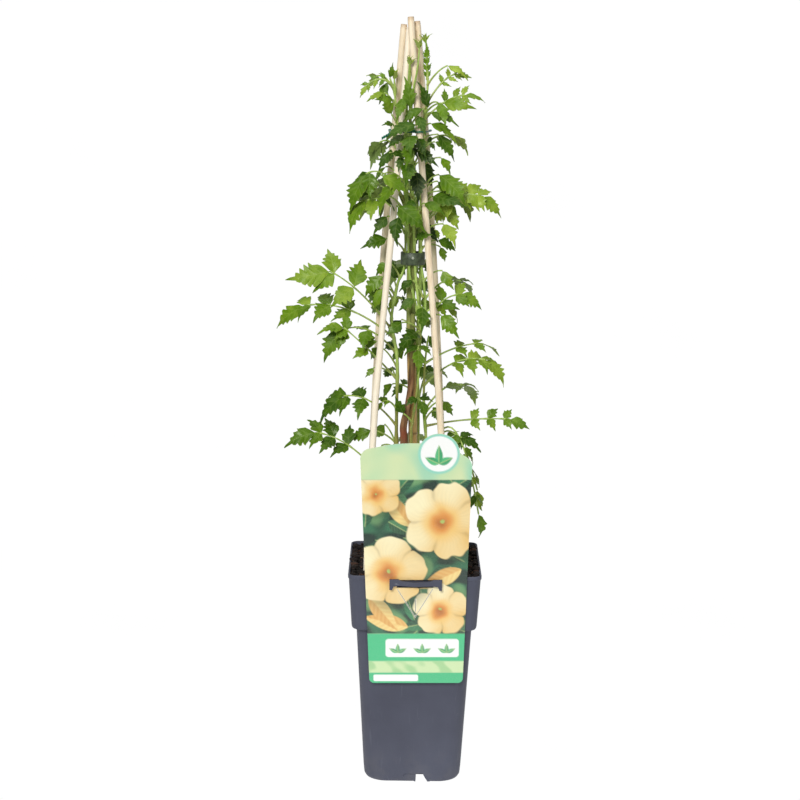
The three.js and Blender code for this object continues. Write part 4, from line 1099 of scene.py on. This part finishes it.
def stick_piece(name, number, wood):
    """Slightly uneven round stick. The first one, at the front left, is painted paler as painted
    light.
    """
    sides = 28
    line = spaced(spaced(smooth(STICKS[name], 300), STICK_STEPS), 140)
    angle, along = circle(sides), np.linspace(0, 1, len(line))[:, None]
    radius = (STICK_RADIUS + 0.06 * np.sin(3 * angle + number)
              + 0.07 * np.sin(along * (31 + number) + 2 * angle))
    radius[-1] -= 0.35
    points, faces = tube(line, radius, sides)
    # Painted light: the front left stick gets a paler tint than the others.
    tint = tints(len(points), 0.6 if number == 0 else 0.1)
    tint[(len(line) - 1) * sides:, 1] = 1
    simple_piece(name + "_wood", wood, name, (points, faces), tint)


def cane_piece():
    """Bamboo with a groove under the ridge of each node."""
    sides = 30
    line = spaced(smooth(CANE, 200), 230)
    angle = circle(sides)
    radius = np.full((len(line), sides), float(CANE_RADIUS))
    node = np.zeros(len(line))
    for height in CANE_NODES:
        away = line[:, 2] - height
        radius += (0.6 * bell(away, 1.3) - 0.35 * bell(away + 3, 1.2))[:, None]
        node = np.maximum(node, bell(away - 0.8, 1.1))
    radius += 0.09 * np.sin(2 * angle + 1) + 0.05 * np.sin(9 * angle)
    points, faces = tube(line, radius, sides)
    tint = tints(len(points), over_rings(node, sides), smoothstep(*CANE_GREEN, points[:, 2]))
    simple_piece("cane_bamboo", bamboo_material(), "bamboo_cane", (points, faces), tint)


def trunk_piece():
    """Old stem with ridged bark."""
    sides = 26
    line = spaced(smooth(TRUNK, 200), 220)
    place = np.linspace(0, 1, len(line)) * (len(TRUNK_RADII) - 1)
    centre = np.interp(place, range(len(TRUNK_RADII)), TRUNK_RADII)
    angle = circle(sides)
    grid = np.stack(np.broadcast_arrays(
        np.cos(angle) * 3, np.sin(angle) * 3, line[:, 2:3] * 0.11), axis=-1)
    radius = centre[:, None] * 0.95 + 0.26 * ripple(grid, 2.2, 3) + 0.14 * ripple(grid, 0.9, 11)
    knee = bell(line[:, 2] - KNEE["height"], KNEE["reach"])
    points, faces = tube(line, radius, sides)
    tint = tints(len(points), over_rings(knee, sides), smoothstep(*TRUNK_GREEN, points[:, 2]))
    simple_piece("trunk_bark", bark_material(), "trunk", (points, faces), tint, 60)


STICK_WOOD = stick_material()
for stick_number, stick in enumerate(STICKS):
    stick_piece(stick, stick_number, STICK_WOOD)
cane_piece()
trunk_piece()

# ---- Strap round the stems and wire round the sticks ----

STRAP_EDGE = 0.22
STUD_PROFILE = [(1.35, 0.3), (1.35, -0.5), (1.1, -0.85), (0.6, -1.05)]


def band_ring(angle, out, z):
    return np.stack([
        BAND["x"] + (BAND["half_width"] + out) * np.cos(angle),
        BAND["y"] + (BAND["half_depth"] + out) * np.sin(angle), np.full_like(angle, z)], axis=-1)


def strip(start, end, steps, inner, outer, inset=0):
    """Rings of a bent strip with softened edges, standing round the stems."""
    low, high = BAND["bottom"] + inset, BAND["bottom"] + BAND["height"] - inset
    soft = STRAP_EDGE
    section = [(inner, low + soft), (inner + soft, low), (outer - soft, low), (outer, low + soft),
               (outer, high - soft), (outer - soft, high), (inner + soft, high),
               (inner, high - soft)]
    angle = np.linspace(start, end, steps)
    return np.stack([band_ring(angle, out, z) for out, z in section], axis=1)


def strap_piece():
    """Strap with the doubled stretch at its fastening and a pale stud."""
    body = Body()
    steps, thickness = 96, BAND["thickness"]
    rings = strip(0, 2 * math.pi * (steps - 1) / steps, steps, 0.05, thickness)
    body.add(rings.reshape(-1, 3), flipped(ring_faces(steps, rings.shape[1], True)))
    points, faces = loft(strip(-1.95, -1.15, 24, thickness, thickness + 0.7, 0.6))
    body.add(points, flipped(faces))
    stud = vec(BAND["x"], BAND["y"] - BAND["half_depth"] - thickness - 0.5, BAND["bottom"] + 7.2)
    rings = [[stud + vec(r * math.cos(a), out, r * math.sin(a)) for a in circle(20)]
             for r, out in STUD_PROFILE]
    body.add(*loft(rings), slot=1)
    strap = strap_material("strap", paint(48, 58, 42), paint(84, 98, 72), 0.35)
    pale = strap_material("stud", paint(150, 158, 140), paint(196, 200, 186), 0.4)
    body.piece("strap_ring", [strap, pale], "stem_band", 45)


def wire_piece():
    """Wire round the sticks, its two turns at the knot and its twisted tail."""
    body = Body()
    corners = wire_line()
    closed = np.vstack([corners[-1:], corners, corners[:2]])
    line = smooth(closed, (len(closed) - 1) * 10)[10:-20]
    line[:, 2] += 0.25 * np.sin(np.arange(len(line)) * 0.21)
    body.add(*tube(line, WIRE["radius"], 12, True))
    a = circle(24)
    for shift, reach, tilt in ((-0.35, 1.5, 0.3), (0.35, 1.35, -0.5)):
        turn = np.stack([shift + 0.5 * np.cos(a), reach * np.cos(a),
                         reach * np.sin(a) + tilt * np.cos(a)], axis=1)
        body.add(*tube(vec(*WIRE["tail"][0]) + turn, 0.75, 10, True))
    tail = smooth(WIRE["tail"], 60)
    spread = np.linspace(0.55, 0.8, len(tail))
    for strand in (0, math.pi):
        a = np.linspace(0, 5.5 * math.pi, len(tail)) + strand
        twist = np.stack([0 * a, np.cos(a) * spread, np.sin(a) * spread], axis=1)
        body.add(*tube(tail + twist, 0.7, 8))
    coat = strap_material("coated_wire", paint(10, 84, 62), paint(28, 124, 92), 0.22)
    body.piece("tie_wire", [coat], "wire_tie", 60)


strap_piece()
wire_piece()

# ---- Soil ----

SOIL_FOOT = {"level": 2.3, "far": 40}     # the root ball stands between the drain arches
# Crumbs and fibres: how many, how many of them lie all over, how far they keep from the walls,
# the radius of the corners that they keep inside, and how often one is a fibre.
CRUMBS = {"count": 1000, "all_over": 620, "inset": 2.5, "corner": 7, "fibre_every": 6}
CRUMB_PROFILE = [(-0.8, 0.55), (-0.3, 0.95), (0.3, 1.0), (0.75, 0.5)]


def soil_height(x, y):
    waves = np.sin(x * 0.21 + 1) * np.cos(y * 0.17) + 0.6 * np.sin(x * 0.09 - y * 0.33 + 2)
    return SOIL_LEVEL + SOIL_BUMP * waves


def corner_at(z):
    return lerp(POT_CORNER["foot"], POT_CORNER["rim"], z / POT_HEIGHT)


def inside_half(z):
    return float(np.interp(z, *zip(*POT_INSIDE)))


def soil_top(x, y):
    p = np.stack([x, y, 0 * x], axis=-1)
    return soil_height(x, y) + 0.7 * ripple(p, 9, 5) + 0.5 * ripple(p, 4, 9)


def soil_block(body):
    """Root ball in the shape of the pot, uneven on top, with a foot in each corner."""
    bottom = ARCH["height"] + POT_WALL + GAP
    rings = [square_ring(inside_half(z) - GAP, corner_at(z) - POT_WALL, z, 12)
             for z in (bottom, 14, 160.5, 165, SOIL_LEVEL - 3)]
    wall = rings[-1]
    for scale in np.linspace(0.985, 0.02, 42):
        ring = wall * (scale, scale, 1)
        ring[:, 2] = soil_top(ring[:, 0], ring[:, 1])
        rings.append(ring)
    points, faces = loft(rings)
    body.add(points, faces, tint=tints(len(points), 0.22 + 0.12 * ripple(points, 14, 21)))
    near, far = ARCH["right"] + POT_WALL + GAP, SOIL_FOOT["far"]
    for sx, sy in ((1, 1), (-1, 1), (-1, -1), (1, -1)):
        plan = [(near, near), (far, near), (far, far), (near, far)][::sx * sy]
        body.add(*loft([[(sx * x, sy * y, z) for x, y in plan]
                        for z in (SOIL_FOOT["level"], bottom)]), tint=(0.2, 0, 0, 1))


def add_fibre(body, n, at, reach):
    turn, length = 6.3 * scatter(n + 50), 4 + 9 * scatter(n + 60)
    way = vec(math.cos(turn), math.sin(turn), 0.25 * (scatter(n + 70) - 0.2))
    ends = np.array([at - way * length / 2, at + vec(0, 0, 0.6), at + way * length / 2])
    ends[:, :2] = np.clip(ends[:, :2], -reach - 1, reach + 1)
    body.add(*tube(smooth(ends, 5), 0.22 + 0.3 * scatter(n + 80), 5),
             tint=(0.35 + 0.6 * scatter(n + 90) ** 2, 0, 0, 1))


def add_crumb(body, n, at, size):
    a, rings = circle(7), []
    for z, r in CRUMB_PROFILE:
        wobble = 1 + 0.3 * np.sin(a * 2 + n) + 0.2 * np.sin(a * 3 + 2.1 * n + z)
        rings.append(at + np.stack([
            size * r * wobble * np.cos(a), size * r * wobble * np.sin(a) * 0.8,
            size * z * 0.7 + 0 * a], axis=1))
    body.add(*loft(rings), tint=(0.12 + 0.5 * scatter(n + 95) ** 2, 0, 0, 1))


def soil_piece():
    """Compost with crumbs and fibres, some all over and some along the walls."""
    body = Body()
    soil_block(body)
    reach = inside_half(SOIL_LEVEL) - CRUMBS["inset"]
    corner = reach - CRUMBS["corner"]
    for n in range(CRUMBS["count"]):
        by_the_wall = n > CRUMBS["all_over"]
        x, y = ((2 * scatter(n * 3 + i) - 1) * reach for i in (0, 1))
        if by_the_wall:
            push = reach / max(abs(x), abs(y))
            x, y = x * push, y * push
        if min(abs(x), abs(y)) > corner + 1 and math.hypot(
                abs(x) - corner, abs(y) - corner) > CRUMBS["corner"] - 0.5:
            continue
        size = 0.9 + 2.4 * scatter(n * 3 + 2) ** 3 + (0.7 if by_the_wall else 0)
        at = vec(x, y, float(soil_top(np.array(x), np.array(y))) + size * 0.25)
        if by_the_wall:
            at[2] = max(at[2], SOIL_LEVEL + 0.5 + 2.5 * scatter(n * 3 + 4))
        if n % CRUMBS["fibre_every"] == CRUMBS["fibre_every"] - 1:
            add_fibre(body, n, at, reach)
        else:
            add_crumb(body, n, at, size)
    body.piece("compost_top", [soil_material()], "soil", 30)


soil_piece()

# ---- Pot ----

CORNER_STEPS = 14
MOULDED = 0.8        # softness of an edge
CASING_START = -46.5     # where the inner walls round each drain arch begin
# Groove round a flap beside the front arch: x and z of its outline, and how far it goes along y.
FLAP = [(-10.4, 2), (-9.9, 2), (-7.6, 9.4), (3.6, 9.4), (3.6, 9.8), (-8, 9.8)]
FLAP_DEPTH = (-50, -48.2)
NECK = {"left": -12, "right": 14, "low": 211.6, "high": 214.4, "from": -68.6, "to": -63.4}


def prism(outline, low, high):
    """Block of an outline given as x and z, from one y to another."""
    count = len(outline)
    points = [(x, y, z) for y in (high, low) for x, z in outline]
    faces = ring_faces(2, count) + [tuple(range(count))[::-1], tuple(range(count, 2 * count))]
    return points, faces


def solid_tool(name, points, faces):
    return linked(name, mesh_of(name, points, faces))


def arch_block(grow, start, end, bottom):
    outline = [(ARCH["left"] - grow, bottom), (ARCH["right"] + grow, bottom),
               (ARCH["top_right"] + grow, ARCH["height"] + grow),
               (ARCH["top_left"] - grow, ARCH["height"] + grow)]
    return prism(outline, start, end)


def on_each_side(name, points, faces):
    """The shape four times, each a quarter turn further round the pot."""
    x, y, z = np.asarray(points).T
    turns = [np.stack([c * x - s * y, s * x + c * y, z], axis=1)
             for c, s in ((1, 0), (0, 1), (-1, 0), (0, -1))]
    return [solid_tool(name, turned, faces) for turned in turns]


def combine(target, tools, operation):
    """Joins the tools to the target or cuts them out of it."""
    for tool in tools:
        modifier = target.modifiers.new("cut", "BOOLEAN")
        modifier.operation, modifier.object, modifier.solver = operation, tool, "EXACT"
    depsgraph = bpy.context.evaluated_depsgraph_get()
    mesh = bpy.data.meshes.new_from_object(target.evaluated_get(depsgraph))
    target.modifiers.clear()
    target.data = mesh
    for tool in tools:
        bpy.data.objects.remove(tool)


def eased(profile):
    """Profile with each corner replaced by three points, so that it looks moulded."""
    points = [vec(*p) for p in profile]
    out = [points[0]]
    for before, corner, after in zip(points, points[1:], points[2:]):
        near = min(MOULDED, np.linalg.norm(corner - before) * 0.4)
        far = min(MOULDED, np.linalg.norm(after - corner) * 0.4)
        a, b = corner + unit(before - corner) * near, corner + unit(after - corner) * far
        out += [a, (a + b) / 4 + corner / 2, b]
    return out + [points[-1]]


def pot_shell():
    outside = [square_ring(half, corner_at(z), z, CORNER_STEPS) for z, half in eased(POT_OUTSIDE)]
    inside = [square_ring(half, corner_at(z) - POT_WALL, z, CORNER_STEPS)
              for z, half in eased(POT_INSIDE)]
    return solid_tool("pot_shell", *loft(outside + inside[::-1]))


def hook_parts():
    """Bar that the label hangs on, and the neck that holds it on the rim."""
    left, right, depth = HOOK["left"], HOOK["right"], HOOK["depth"]
    outline = [
        (left, 207.5), (left + 2.6, 207.2), (left + 4, 210.8), (left + 9, 211.6), (0, 210.6),
        (right - 9, 211.4), (right - 4, 210.8), (right - 2.4, 207), (right, 207.2),
        (right, 217.8), (right - 8, 217.8), (right - 12, 216), (0, 214.9),
        (left + 12, 216.2), (left + 8, 218), (left, 217.8)]
    neck = [(NECK["left"], NECK["low"]), (NECK["right"], NECK["low"]),
            (NECK["right"], NECK["high"]), (NECK["left"], NECK["high"])]
    return [solid_tool("hook", *prism(outline, HOOK["back"] - depth, HOOK["back"])),
            solid_tool("neck", *prism(neck, NECK["from"], NECK["to"]))]


def pot_piece():
    pot = pot_shell()
    casings = on_each_side("casing", *arch_block(POT_WALL, CASING_START, ARCH["end"] + POT_WALL, 1))
    combine(pot, casings + hook_parts(), "UNION")
    arches = on_each_side("arch", *arch_block(0, ARCH["face"] - 10, ARCH["end"], -1))
    a = circle(24)
    hole = loft([np.stack([DRAIN_HOLE["offset"] + DRAIN_HOLE["radius"] * np.cos(a),
                           DRAIN_HOLE["offset"] + DRAIN_HOLE["radius"] * np.sin(a), z + 0 * a],
                          axis=1) for z in (-4, 4)])
    flap = solid_tool("flap", *prism(FLAP, *FLAP_DEPTH))
    combine(pot, arches + on_each_side("hole", *hole) + [flap], "DIFFERENCE")
    pot.data.materials.clear()
    pot.data.materials.append(pot_material())
    soften(pot.data, 32)
    place_piece(pot, "pot")


pot_piece()

# ---- Label ----

LABEL_BOTTOM, LABEL_TOP = -111, 132
TAB = vec(21.8, 125)
TAB_RADIUS = 20
# Mesh of the card: half the width that its grid covers, the steps of the grid and of the edges,
# how far these keep apart, and how far its faces lie inside those of the solid.
SHEET = {"half": 56, "grid": 0.8, "edge": 1.2, "clear": 0.45, "skin": 0.04}


def arc(x, y, radius, start, end, steps=14):
    a = np.linspace(start, end, steps)
    return [(x + radius * math.cos(v), y + radius * math.sin(v)) for v in a]


def bend(a, control, b, steps=10):
    a, control, b = vec(*a), vec(*control), vec(*b)
    return [tuple((1 - t) ** 2 * a + 2 * t * (1 - t) * control + t * t * b)
            for t in np.linspace(0, 1, steps)]


def label_outline():
    bottom_half, top_half, corner = 46.2, 53.6, 5
    points = arc(bottom_half - corner, LABEL_BOTTOM + corner, corner, -math.pi / 2, 0)
    points += bend((top_half, 112), (top_half, 119), (46, 123))
    tab = arc(*TAB, TAB_RADIUS, 0.04, math.pi - 0.55, 40)
    points += tab
    points += bend(tab[-1], (-20, 136), (-36, LABEL_TOP), 24)[1:]
    points += arc(-top_half + 10.5, LABEL_TOP - 12, 10.5, math.pi / 2, math.pi)
    points += arc(-bottom_half + corner, LABEL_BOTTOM + corner, corner, math.pi, 1.5 * math.pi)
    return np.array(points)


SLOT = np.array([(-19, -11), (17, -11), (17, -3), (-19, -3)], float)
CUTS = [
    np.array([(-18.4, -12.5), (-18, -12.5), (-1, -41), (16, -12.5), (16.4, -12.5),
              (-1, -41.8)]),
    np.array([(-0.8, -23), (-0.4, -23), (-0.4, -36), (-0.8, -36)])]


def is_within(points, outline):
    """Which points lie inside a closed outline."""
    x, y = points.T
    within = np.zeros(len(points), bool)
    for (x0, y0), (x1, y1) in zip(outline, np.roll(outline, -1, axis=0)):
        if y0 == y1:
            continue
        crosses = (y0 > y) != (y1 > y)
        within ^= crosses & (x < (x1 - x0) * (y - y0) / (y1 - y0) + x0)
    return within


def distance_to(points, outline):
    best = np.full(len(points), 1e9)
    for a, b in zip(outline, np.roll(outline, -1, axis=0)):
        way = b - a
        t = np.clip(((points - a) @ way) / max(way @ way, 1e-12), 0, 1)
        best = np.minimum(best, np.linalg.norm(a + t[:, None] * way - points, axis=1))
    return best


class Print:
    """Generic print of blossoms and leaves, painted point by point over the card."""

    def __init__(self, points):
        self.x, self.y = points.T
        self.colour = np.tile(paint(214, 230, 178)[:3], (len(points), 1))

    def lay(self, colour, mask):
        colour = np.broadcast_to(np.asarray(colour, float)[..., :3], self.colour.shape)
        self.colour = lerp(self.colour, colour, np.clip(mask, 0, 1)[:, None])

    def cloud(self, pitch, seed):
        return 0.5 + 0.5 * ripple(np.stack([self.x, self.y, 0 * self.x], axis=1), pitch, seed)

    def band(self, low, high, soft=0.6):
        return smoothstep(low - soft, low + soft, self.y) * fall(high - soft, high + soft, self.y)

    def disc(self, x, y, radius, soft=0.5):
        return fall(radius - soft, radius + soft, np.hypot(self.x - x, self.y - y))

    def panel(self, x, y, half_width, half_height, corner, soft=0.5):
        out_x = np.abs(self.x - x) - half_width + corner
        out_y = np.abs(self.y - y) - half_height + corner
        away = np.hypot(np.maximum(out_x, 0), np.maximum(out_y, 0)) + np.minimum(
            np.maximum(out_x, out_y), 0)
        return fall(corner - soft, corner + soft, away)

    def leaf(self, x, y, length, width, turn, dark, light, where=1.0, rib=(196, 212, 140)):
        dx, dy = self.x - x, self.y - y
        s = (dx * math.cos(turn) + dy * math.sin(turn)) / length
        w = -dx * math.sin(turn) + dy * math.cos(turn)
        half = width / 2 * np.sin(math.pi * np.clip(s, 0, 1) ** 0.75)
        mask = smoothstep(-0.4, 0.5, half - np.abs(w)) * (s > 0) * (s < 1)
        veins = 0.5 + 0.5 * np.cos((s * 8 - np.abs(w) / width * 3) * 2 * math.pi)
        tone = np.clip(0.25 + 0.5 * (w > 0) + 0.2 * veins - 0.2 * s, 0, 1)[:, None]
        self.lay(lerp(np.array(dark[:3]), np.array(light[:3]), tone), mask * where)
        self.lay(paint(*rib), mask * where * 0.6 * fall(0.2, 0.7, np.abs(w)))

    def blossom(self, x, y, radius, turn, where=1.0):
        shadow = fall(radius * 0.7, radius * 1.25, np.hypot(
            self.x - x - radius * 0.12, self.y - y + radius * 0.16))
        self.lay(paint(30, 52, 20), shadow * 0.55 * where)
        sway = [3 * (self.cloud(14, int(x + y) + 90 + k) - 0.5) for k in (0, 9)]
        dx, dy = self.x - x + sway[0], self.y - y + sway[1]
        away, angle = np.hypot(dx, dy), np.arctan2(dy, dx) - turn
        lobe = np.abs(np.cos(2.5 * angle))
        edge = radius * (0.8 + 0.2 * lobe ** 0.5)
        t = away / radius
        light = 0.5 + 0.5 * (0.6 * dy - 0.8 * dx) / radius + 0.5 * (lobe - 0.5) * t
        petal = lerp(np.array(paint(236, 196, 118)[:3]), np.array(paint(253, 242, 196)[:3]),
                     np.clip(light, 0, 1)[:, None])
        fold = smoothstep(0, 0.22, lobe) + fall(0.3, 0.7, t)
        petal = petal * (0.8 + 0.2 * np.clip(fold, 0, 1))[:, None]
        ribs = np.sin(angle * 40 + 2 * np.sin(9 * t)) * smoothstep(0.1, 0.3, t) * (1 - t)
        petal = petal * (1 - 0.05 * ribs)[:, None]
        mask = smoothstep(-0.7, 0.7, edge - away) * where
        self.lay(petal, mask)
        throat = np.hypot(dx * 1.1 + 0.04 * radius, dy + 0.06 * radius) / radius
        self.lay(paint(244, 196, 104), mask * 0.8 * fall(0.3, 0.66, throat))
        self.lay(paint(226, 142, 56), mask * 0.85 * fall(0.2, 0.4, throat))
        self.lay(paint(168, 92, 36), mask * 0.7 * fall(0.04, 0.26, throat))
        self.lay(paint(176, 196, 104), mask * fall(0.04, 0.07, t))


def label_print(points):
    p = Print(points)
    field = p.band(-59, 99)
    p.lay(paint(190, 224, 176), p.cloud(34, 3) * 0.8)
    p.lay(paint(150, 214, 184), smoothstep(0.55, 0.9, p.cloud(48, 8)) * 0.8)
    p.lay(paint(48, 112, 78), field)
    p.lay(paint(12, 48, 38), field * smoothstep(0.3, 0.7, p.cloud(20, 13)))
    p.lay(paint(120, 168, 110), field * smoothstep(0.6, 0.9, p.cloud(24, 19)) * 0.8)
    for n in range(30):
        x, y = -50 + 100 * scatter(n * 4 + 1), -58 + 150 * scatter(n * 4 + 2)
        green = scatter(n * 4 + 4)
        p.leaf(x, y, 24 + 16 * scatter(n * 4 + 3), 13, 6.3 * green,
               paint(8 + 20 * green, 56, 42), paint(60 + 30 * green, 146, 98), field)
    for x, y, turn in ((-8, -52, 2.9), (-6, 52, 2.2), (44, 8, 3.6), (-46, -20, -0.9)):
        p.leaf(x, y, 46, 17, turn, paint(222, 158, 76), paint(250, 226, 150), field,
               (244, 204, 124))
    for n, (x, y, radius) in enumerate([
            (-38, 86, 24), (24, -34, 27), (-26, 6, 36), (26, 58, 39)]):
        p.blossom(x, y, radius, 0.5 + 1.1 * n, field)
    p.lay(paint(66, 194, 133), p.band(-88, -59))
    p.lay(paint(206, 230, 176), p.band(-100, -88))
    p.lay(paint(168, 212, 150), p.band(-100, -88) * smoothstep(0.4, 0.8, p.cloud(14, 31)))
    p.lay(paint(66, 190, 130), p.band(-120, -100))
    p.lay(paint(250, 252, 248), p.panel(6, -74, 36, 9.5, 3))
    for x in (-18, 6, 30):
        for turn in (0.5, 1.57, 2.64):
            p.leaf(x, -79, 10, 4.2, turn, paint(40, 150, 100), paint(96, 196, 130))
    p.lay(paint(250, 252, 248), p.panel(-20, -105.6, 22, 3.4, 1.6))
    p.lay(paint(148, 218, 196), p.disc(*TAB, 30) * (p.y > 99) * fall(
        TAB_RADIUS - 1, TAB_RADIUS + 1, np.hypot(p.x - TAB[0], p.y - TAB[1])))
    p.lay(paint(252, 253, 250), p.disc(*TAB, 17.6))
    for turn, size in ((0.45, 15), (1.57, 19), (2.69, 15)):
        p.leaf(TAB[0], TAB[1] - 10, size, 7.5, turn, paint(34, 150, 96), paint(92, 200, 132),
               p.disc(*TAB, 17))
    gaps = np.min([distance_to(points, cut) for cut in CUTS], axis=0)
    p.lay(paint(240, 236, 222), 0.75 * fall(0.1, 0.5, gaps))
    return p.colour


def spaced_loop(loop, step):
    closed = np.vstack([loop, loop[:1]])
    points = []
    for a, b in zip(closed, closed[1:]):
        parts = max(1, int(np.linalg.norm(b - a) / step))
        points += [lerp(a, b, i / parts) for i in range(parts)]
    return np.array(points)


def is_card(points, loops):
    """Which points lie inside the outline, the first loop, and outside the cuts in it."""
    within = is_within(points, loops[0])
    for loop in loops[1:]:
        within &= ~is_within(points, loop)
    return within


def label_sheet():
    """The card laid flat: its points, and its triangles counter-clockwise."""
    loops = [label_outline(), SLOT, *CUTS]
    borders = [spaced_loop(loop, SHEET["edge"]) for loop in loops]
    half, step = SHEET["half"], SHEET["grid"]
    grid = np.stack([axis.ravel() for axis in np.meshgrid(
        np.arange(-half, half + 1, step),
        np.arange(LABEL_BOTTOM, TAB[1] + TAB_RADIUS + 2, step))], axis=1)
    keep = is_card(grid, loops)
    for loop in borders:
        keep &= distance_to(grid, loop) > SHEET["clear"]
    edges, first = [], 0
    for loop in borders:
        edges += [(first + i, first + (i + 1) % len(loop)) for i in range(len(loop))]
        first += len(loop)
    flat = [Vector(p) for p in np.vstack([*borders, grid[keep]])]
    verts, _, triangles, *_ = geometry.delaunay_2d_cdt(flat, edges, [], 0, 1e-5)
    at = np.array([tuple(v) for v in verts])
    triangles = np.array([t for t in triangles if len(t) == 3])
    triangles = triangles[is_card(at[triangles].mean(axis=1), borders)]
    a, b, c = (at[triangles[:, i]] for i in range(3))
    clockwise = np.cross(b - a, c - a) < 0
    triangles[clockwise] = triangles[clockwise][:, ::-1]
    return at, [tuple(t) for t in triangles.tolist()]


def label_piece():
    """Printed card, leaning and tilted on the hook. Its back is plain."""
    at, front = label_sheet()
    count = len(at)
    back = [tuple(i + count for i in t[::-1]) for t in front]
    edges = dict.fromkeys(edge for t in front for edge in zip(t, t[1:] + t[:1]))
    rim = [(a, a + count, b + count, b) for a, b in edges if (b, a) not in edges]
    flat_x, flat_y = np.tile(at, (2, 1)).T
    out = np.repeat([LABEL["thickness"] - SHEET["skin"], SHEET["skin"]], count)
    c, s = math.cos(LABEL["tilt"]), math.sin(LABEL["tilt"])
    x, y = c * flat_x - s * flat_y, s * flat_x + c * flat_y
    lean = math.atan(LABEL["lean"])
    place = np.column_stack([
        x + LABEL["shift"],
        -y * math.sin(lean) - out * math.cos(lean) + LABEL["back_at_rim"],
        y * math.cos(lean) - out * math.sin(lean) + POT_HEIGHT])
    colour = np.ones((2 * count, 4))
    colour[:count, :3] = label_print(at)
    colour[count:, :3] = paint(238, 240, 232)[:3]
    simple_piece("card_print", card_material(), "label",
                 (place, front + back + rim), colour)


label_piece()

# ---- Floor, light and camera ----

# Floor and sweep, in metres: front edge, start of the bend and its radius, top, half the width,
# and how far the floor lies below the pot.
SWEEP = {"front": -0.6, "bend": 1.6, "radius": 0.6, "top": 1.3, "half": 1.3, "below": 0.0004}
# Soft lights: place, what they point at, size and power, in metres and watts.
LIGHTS = {
    "key": ((-0.7, -2.1, 1.7), (0, 0, 0.35), 0.9, 50),
    "fill": ((1.6, -1.6, 0.9), (0, 0, 0.35), 1.2, 9),
    "top": ((0, 0.0, 2.3), (0, 0, 0), 1.4, 14),
}
WORLD_LIGHT = 0.14
CAMERA = {"place": (-0.0166, -1.85, 0.74), "tilt": 79.06, "roll": 0.7, "lens": 85.51, "sensor": 36}


def backdrop():
    """White floor that sweeps up into a wall behind."""
    bend, radius = SWEEP["bend"], SWEEP["radius"]
    profile = [(SWEEP["front"], 0), (bend, 0)]
    profile += [(bend + radius * math.sin(a), radius - radius * math.cos(a))
                for a in np.linspace(0.1, math.pi / 2, 14)] + [(bend + radius, SWEEP["top"])]
    points = [(side * SWEEP["half"], y, z - SWEEP["below"]) for y, z in profile for side in (-1, 1)]
    faces = [(2 * i, 2 * i + 1, 2 * i + 3, 2 * i + 2) for i in range(len(profile) - 1)]
    mesh = bpy.data.meshes.new("backdrop")
    mesh.from_pydata(points, [], faces)
    mesh.materials.append(backdrop_material())
    mesh.shade_smooth()
    linked("backdrop", mesh)


def soft_light(name, place, aim, size, power):
    light = bpy.data.lights.new(name, "AREA")
    light.shape, light.size, light.energy = "SQUARE", size, power
    thing = linked(name, light)
    thing.location = place
    thing.rotation_euler = (Vector(aim) - Vector(place)).to_track_quat("-Z", "Y").to_euler()


def studio_world():
    world = bpy.data.worlds.new("studio")
    world.use_nodes = True
    background = world.node_tree.nodes["Background"].inputs
    background["Color"].default_value = (1, 1, 1, 1)
    background["Strength"].default_value = WORLD_LIGHT
    bpy.context.scene.world = world
    bpy.context.scene.view_settings.view_transform = "Standard"


def front_camera():
    camera = linked("camera", bpy.data.cameras.new("camera"))
    camera.data.lens, camera.data.sensor_width = CAMERA["lens"], CAMERA["sensor"]
    camera.matrix_world = (Matrix.Translation(CAMERA["place"])
                           @ Matrix.Rotation(math.radians(CAMERA["tilt"]), 4, "X")
                           @ Matrix.Rotation(math.radians(CAMERA["roll"]), 4, "Z"))
    bpy.context.scene.camera = camera


backdrop()
for light_name, light_values in LIGHTS.items():
    soft_light(light_name, *light_values)
studio_world()
front_camera()
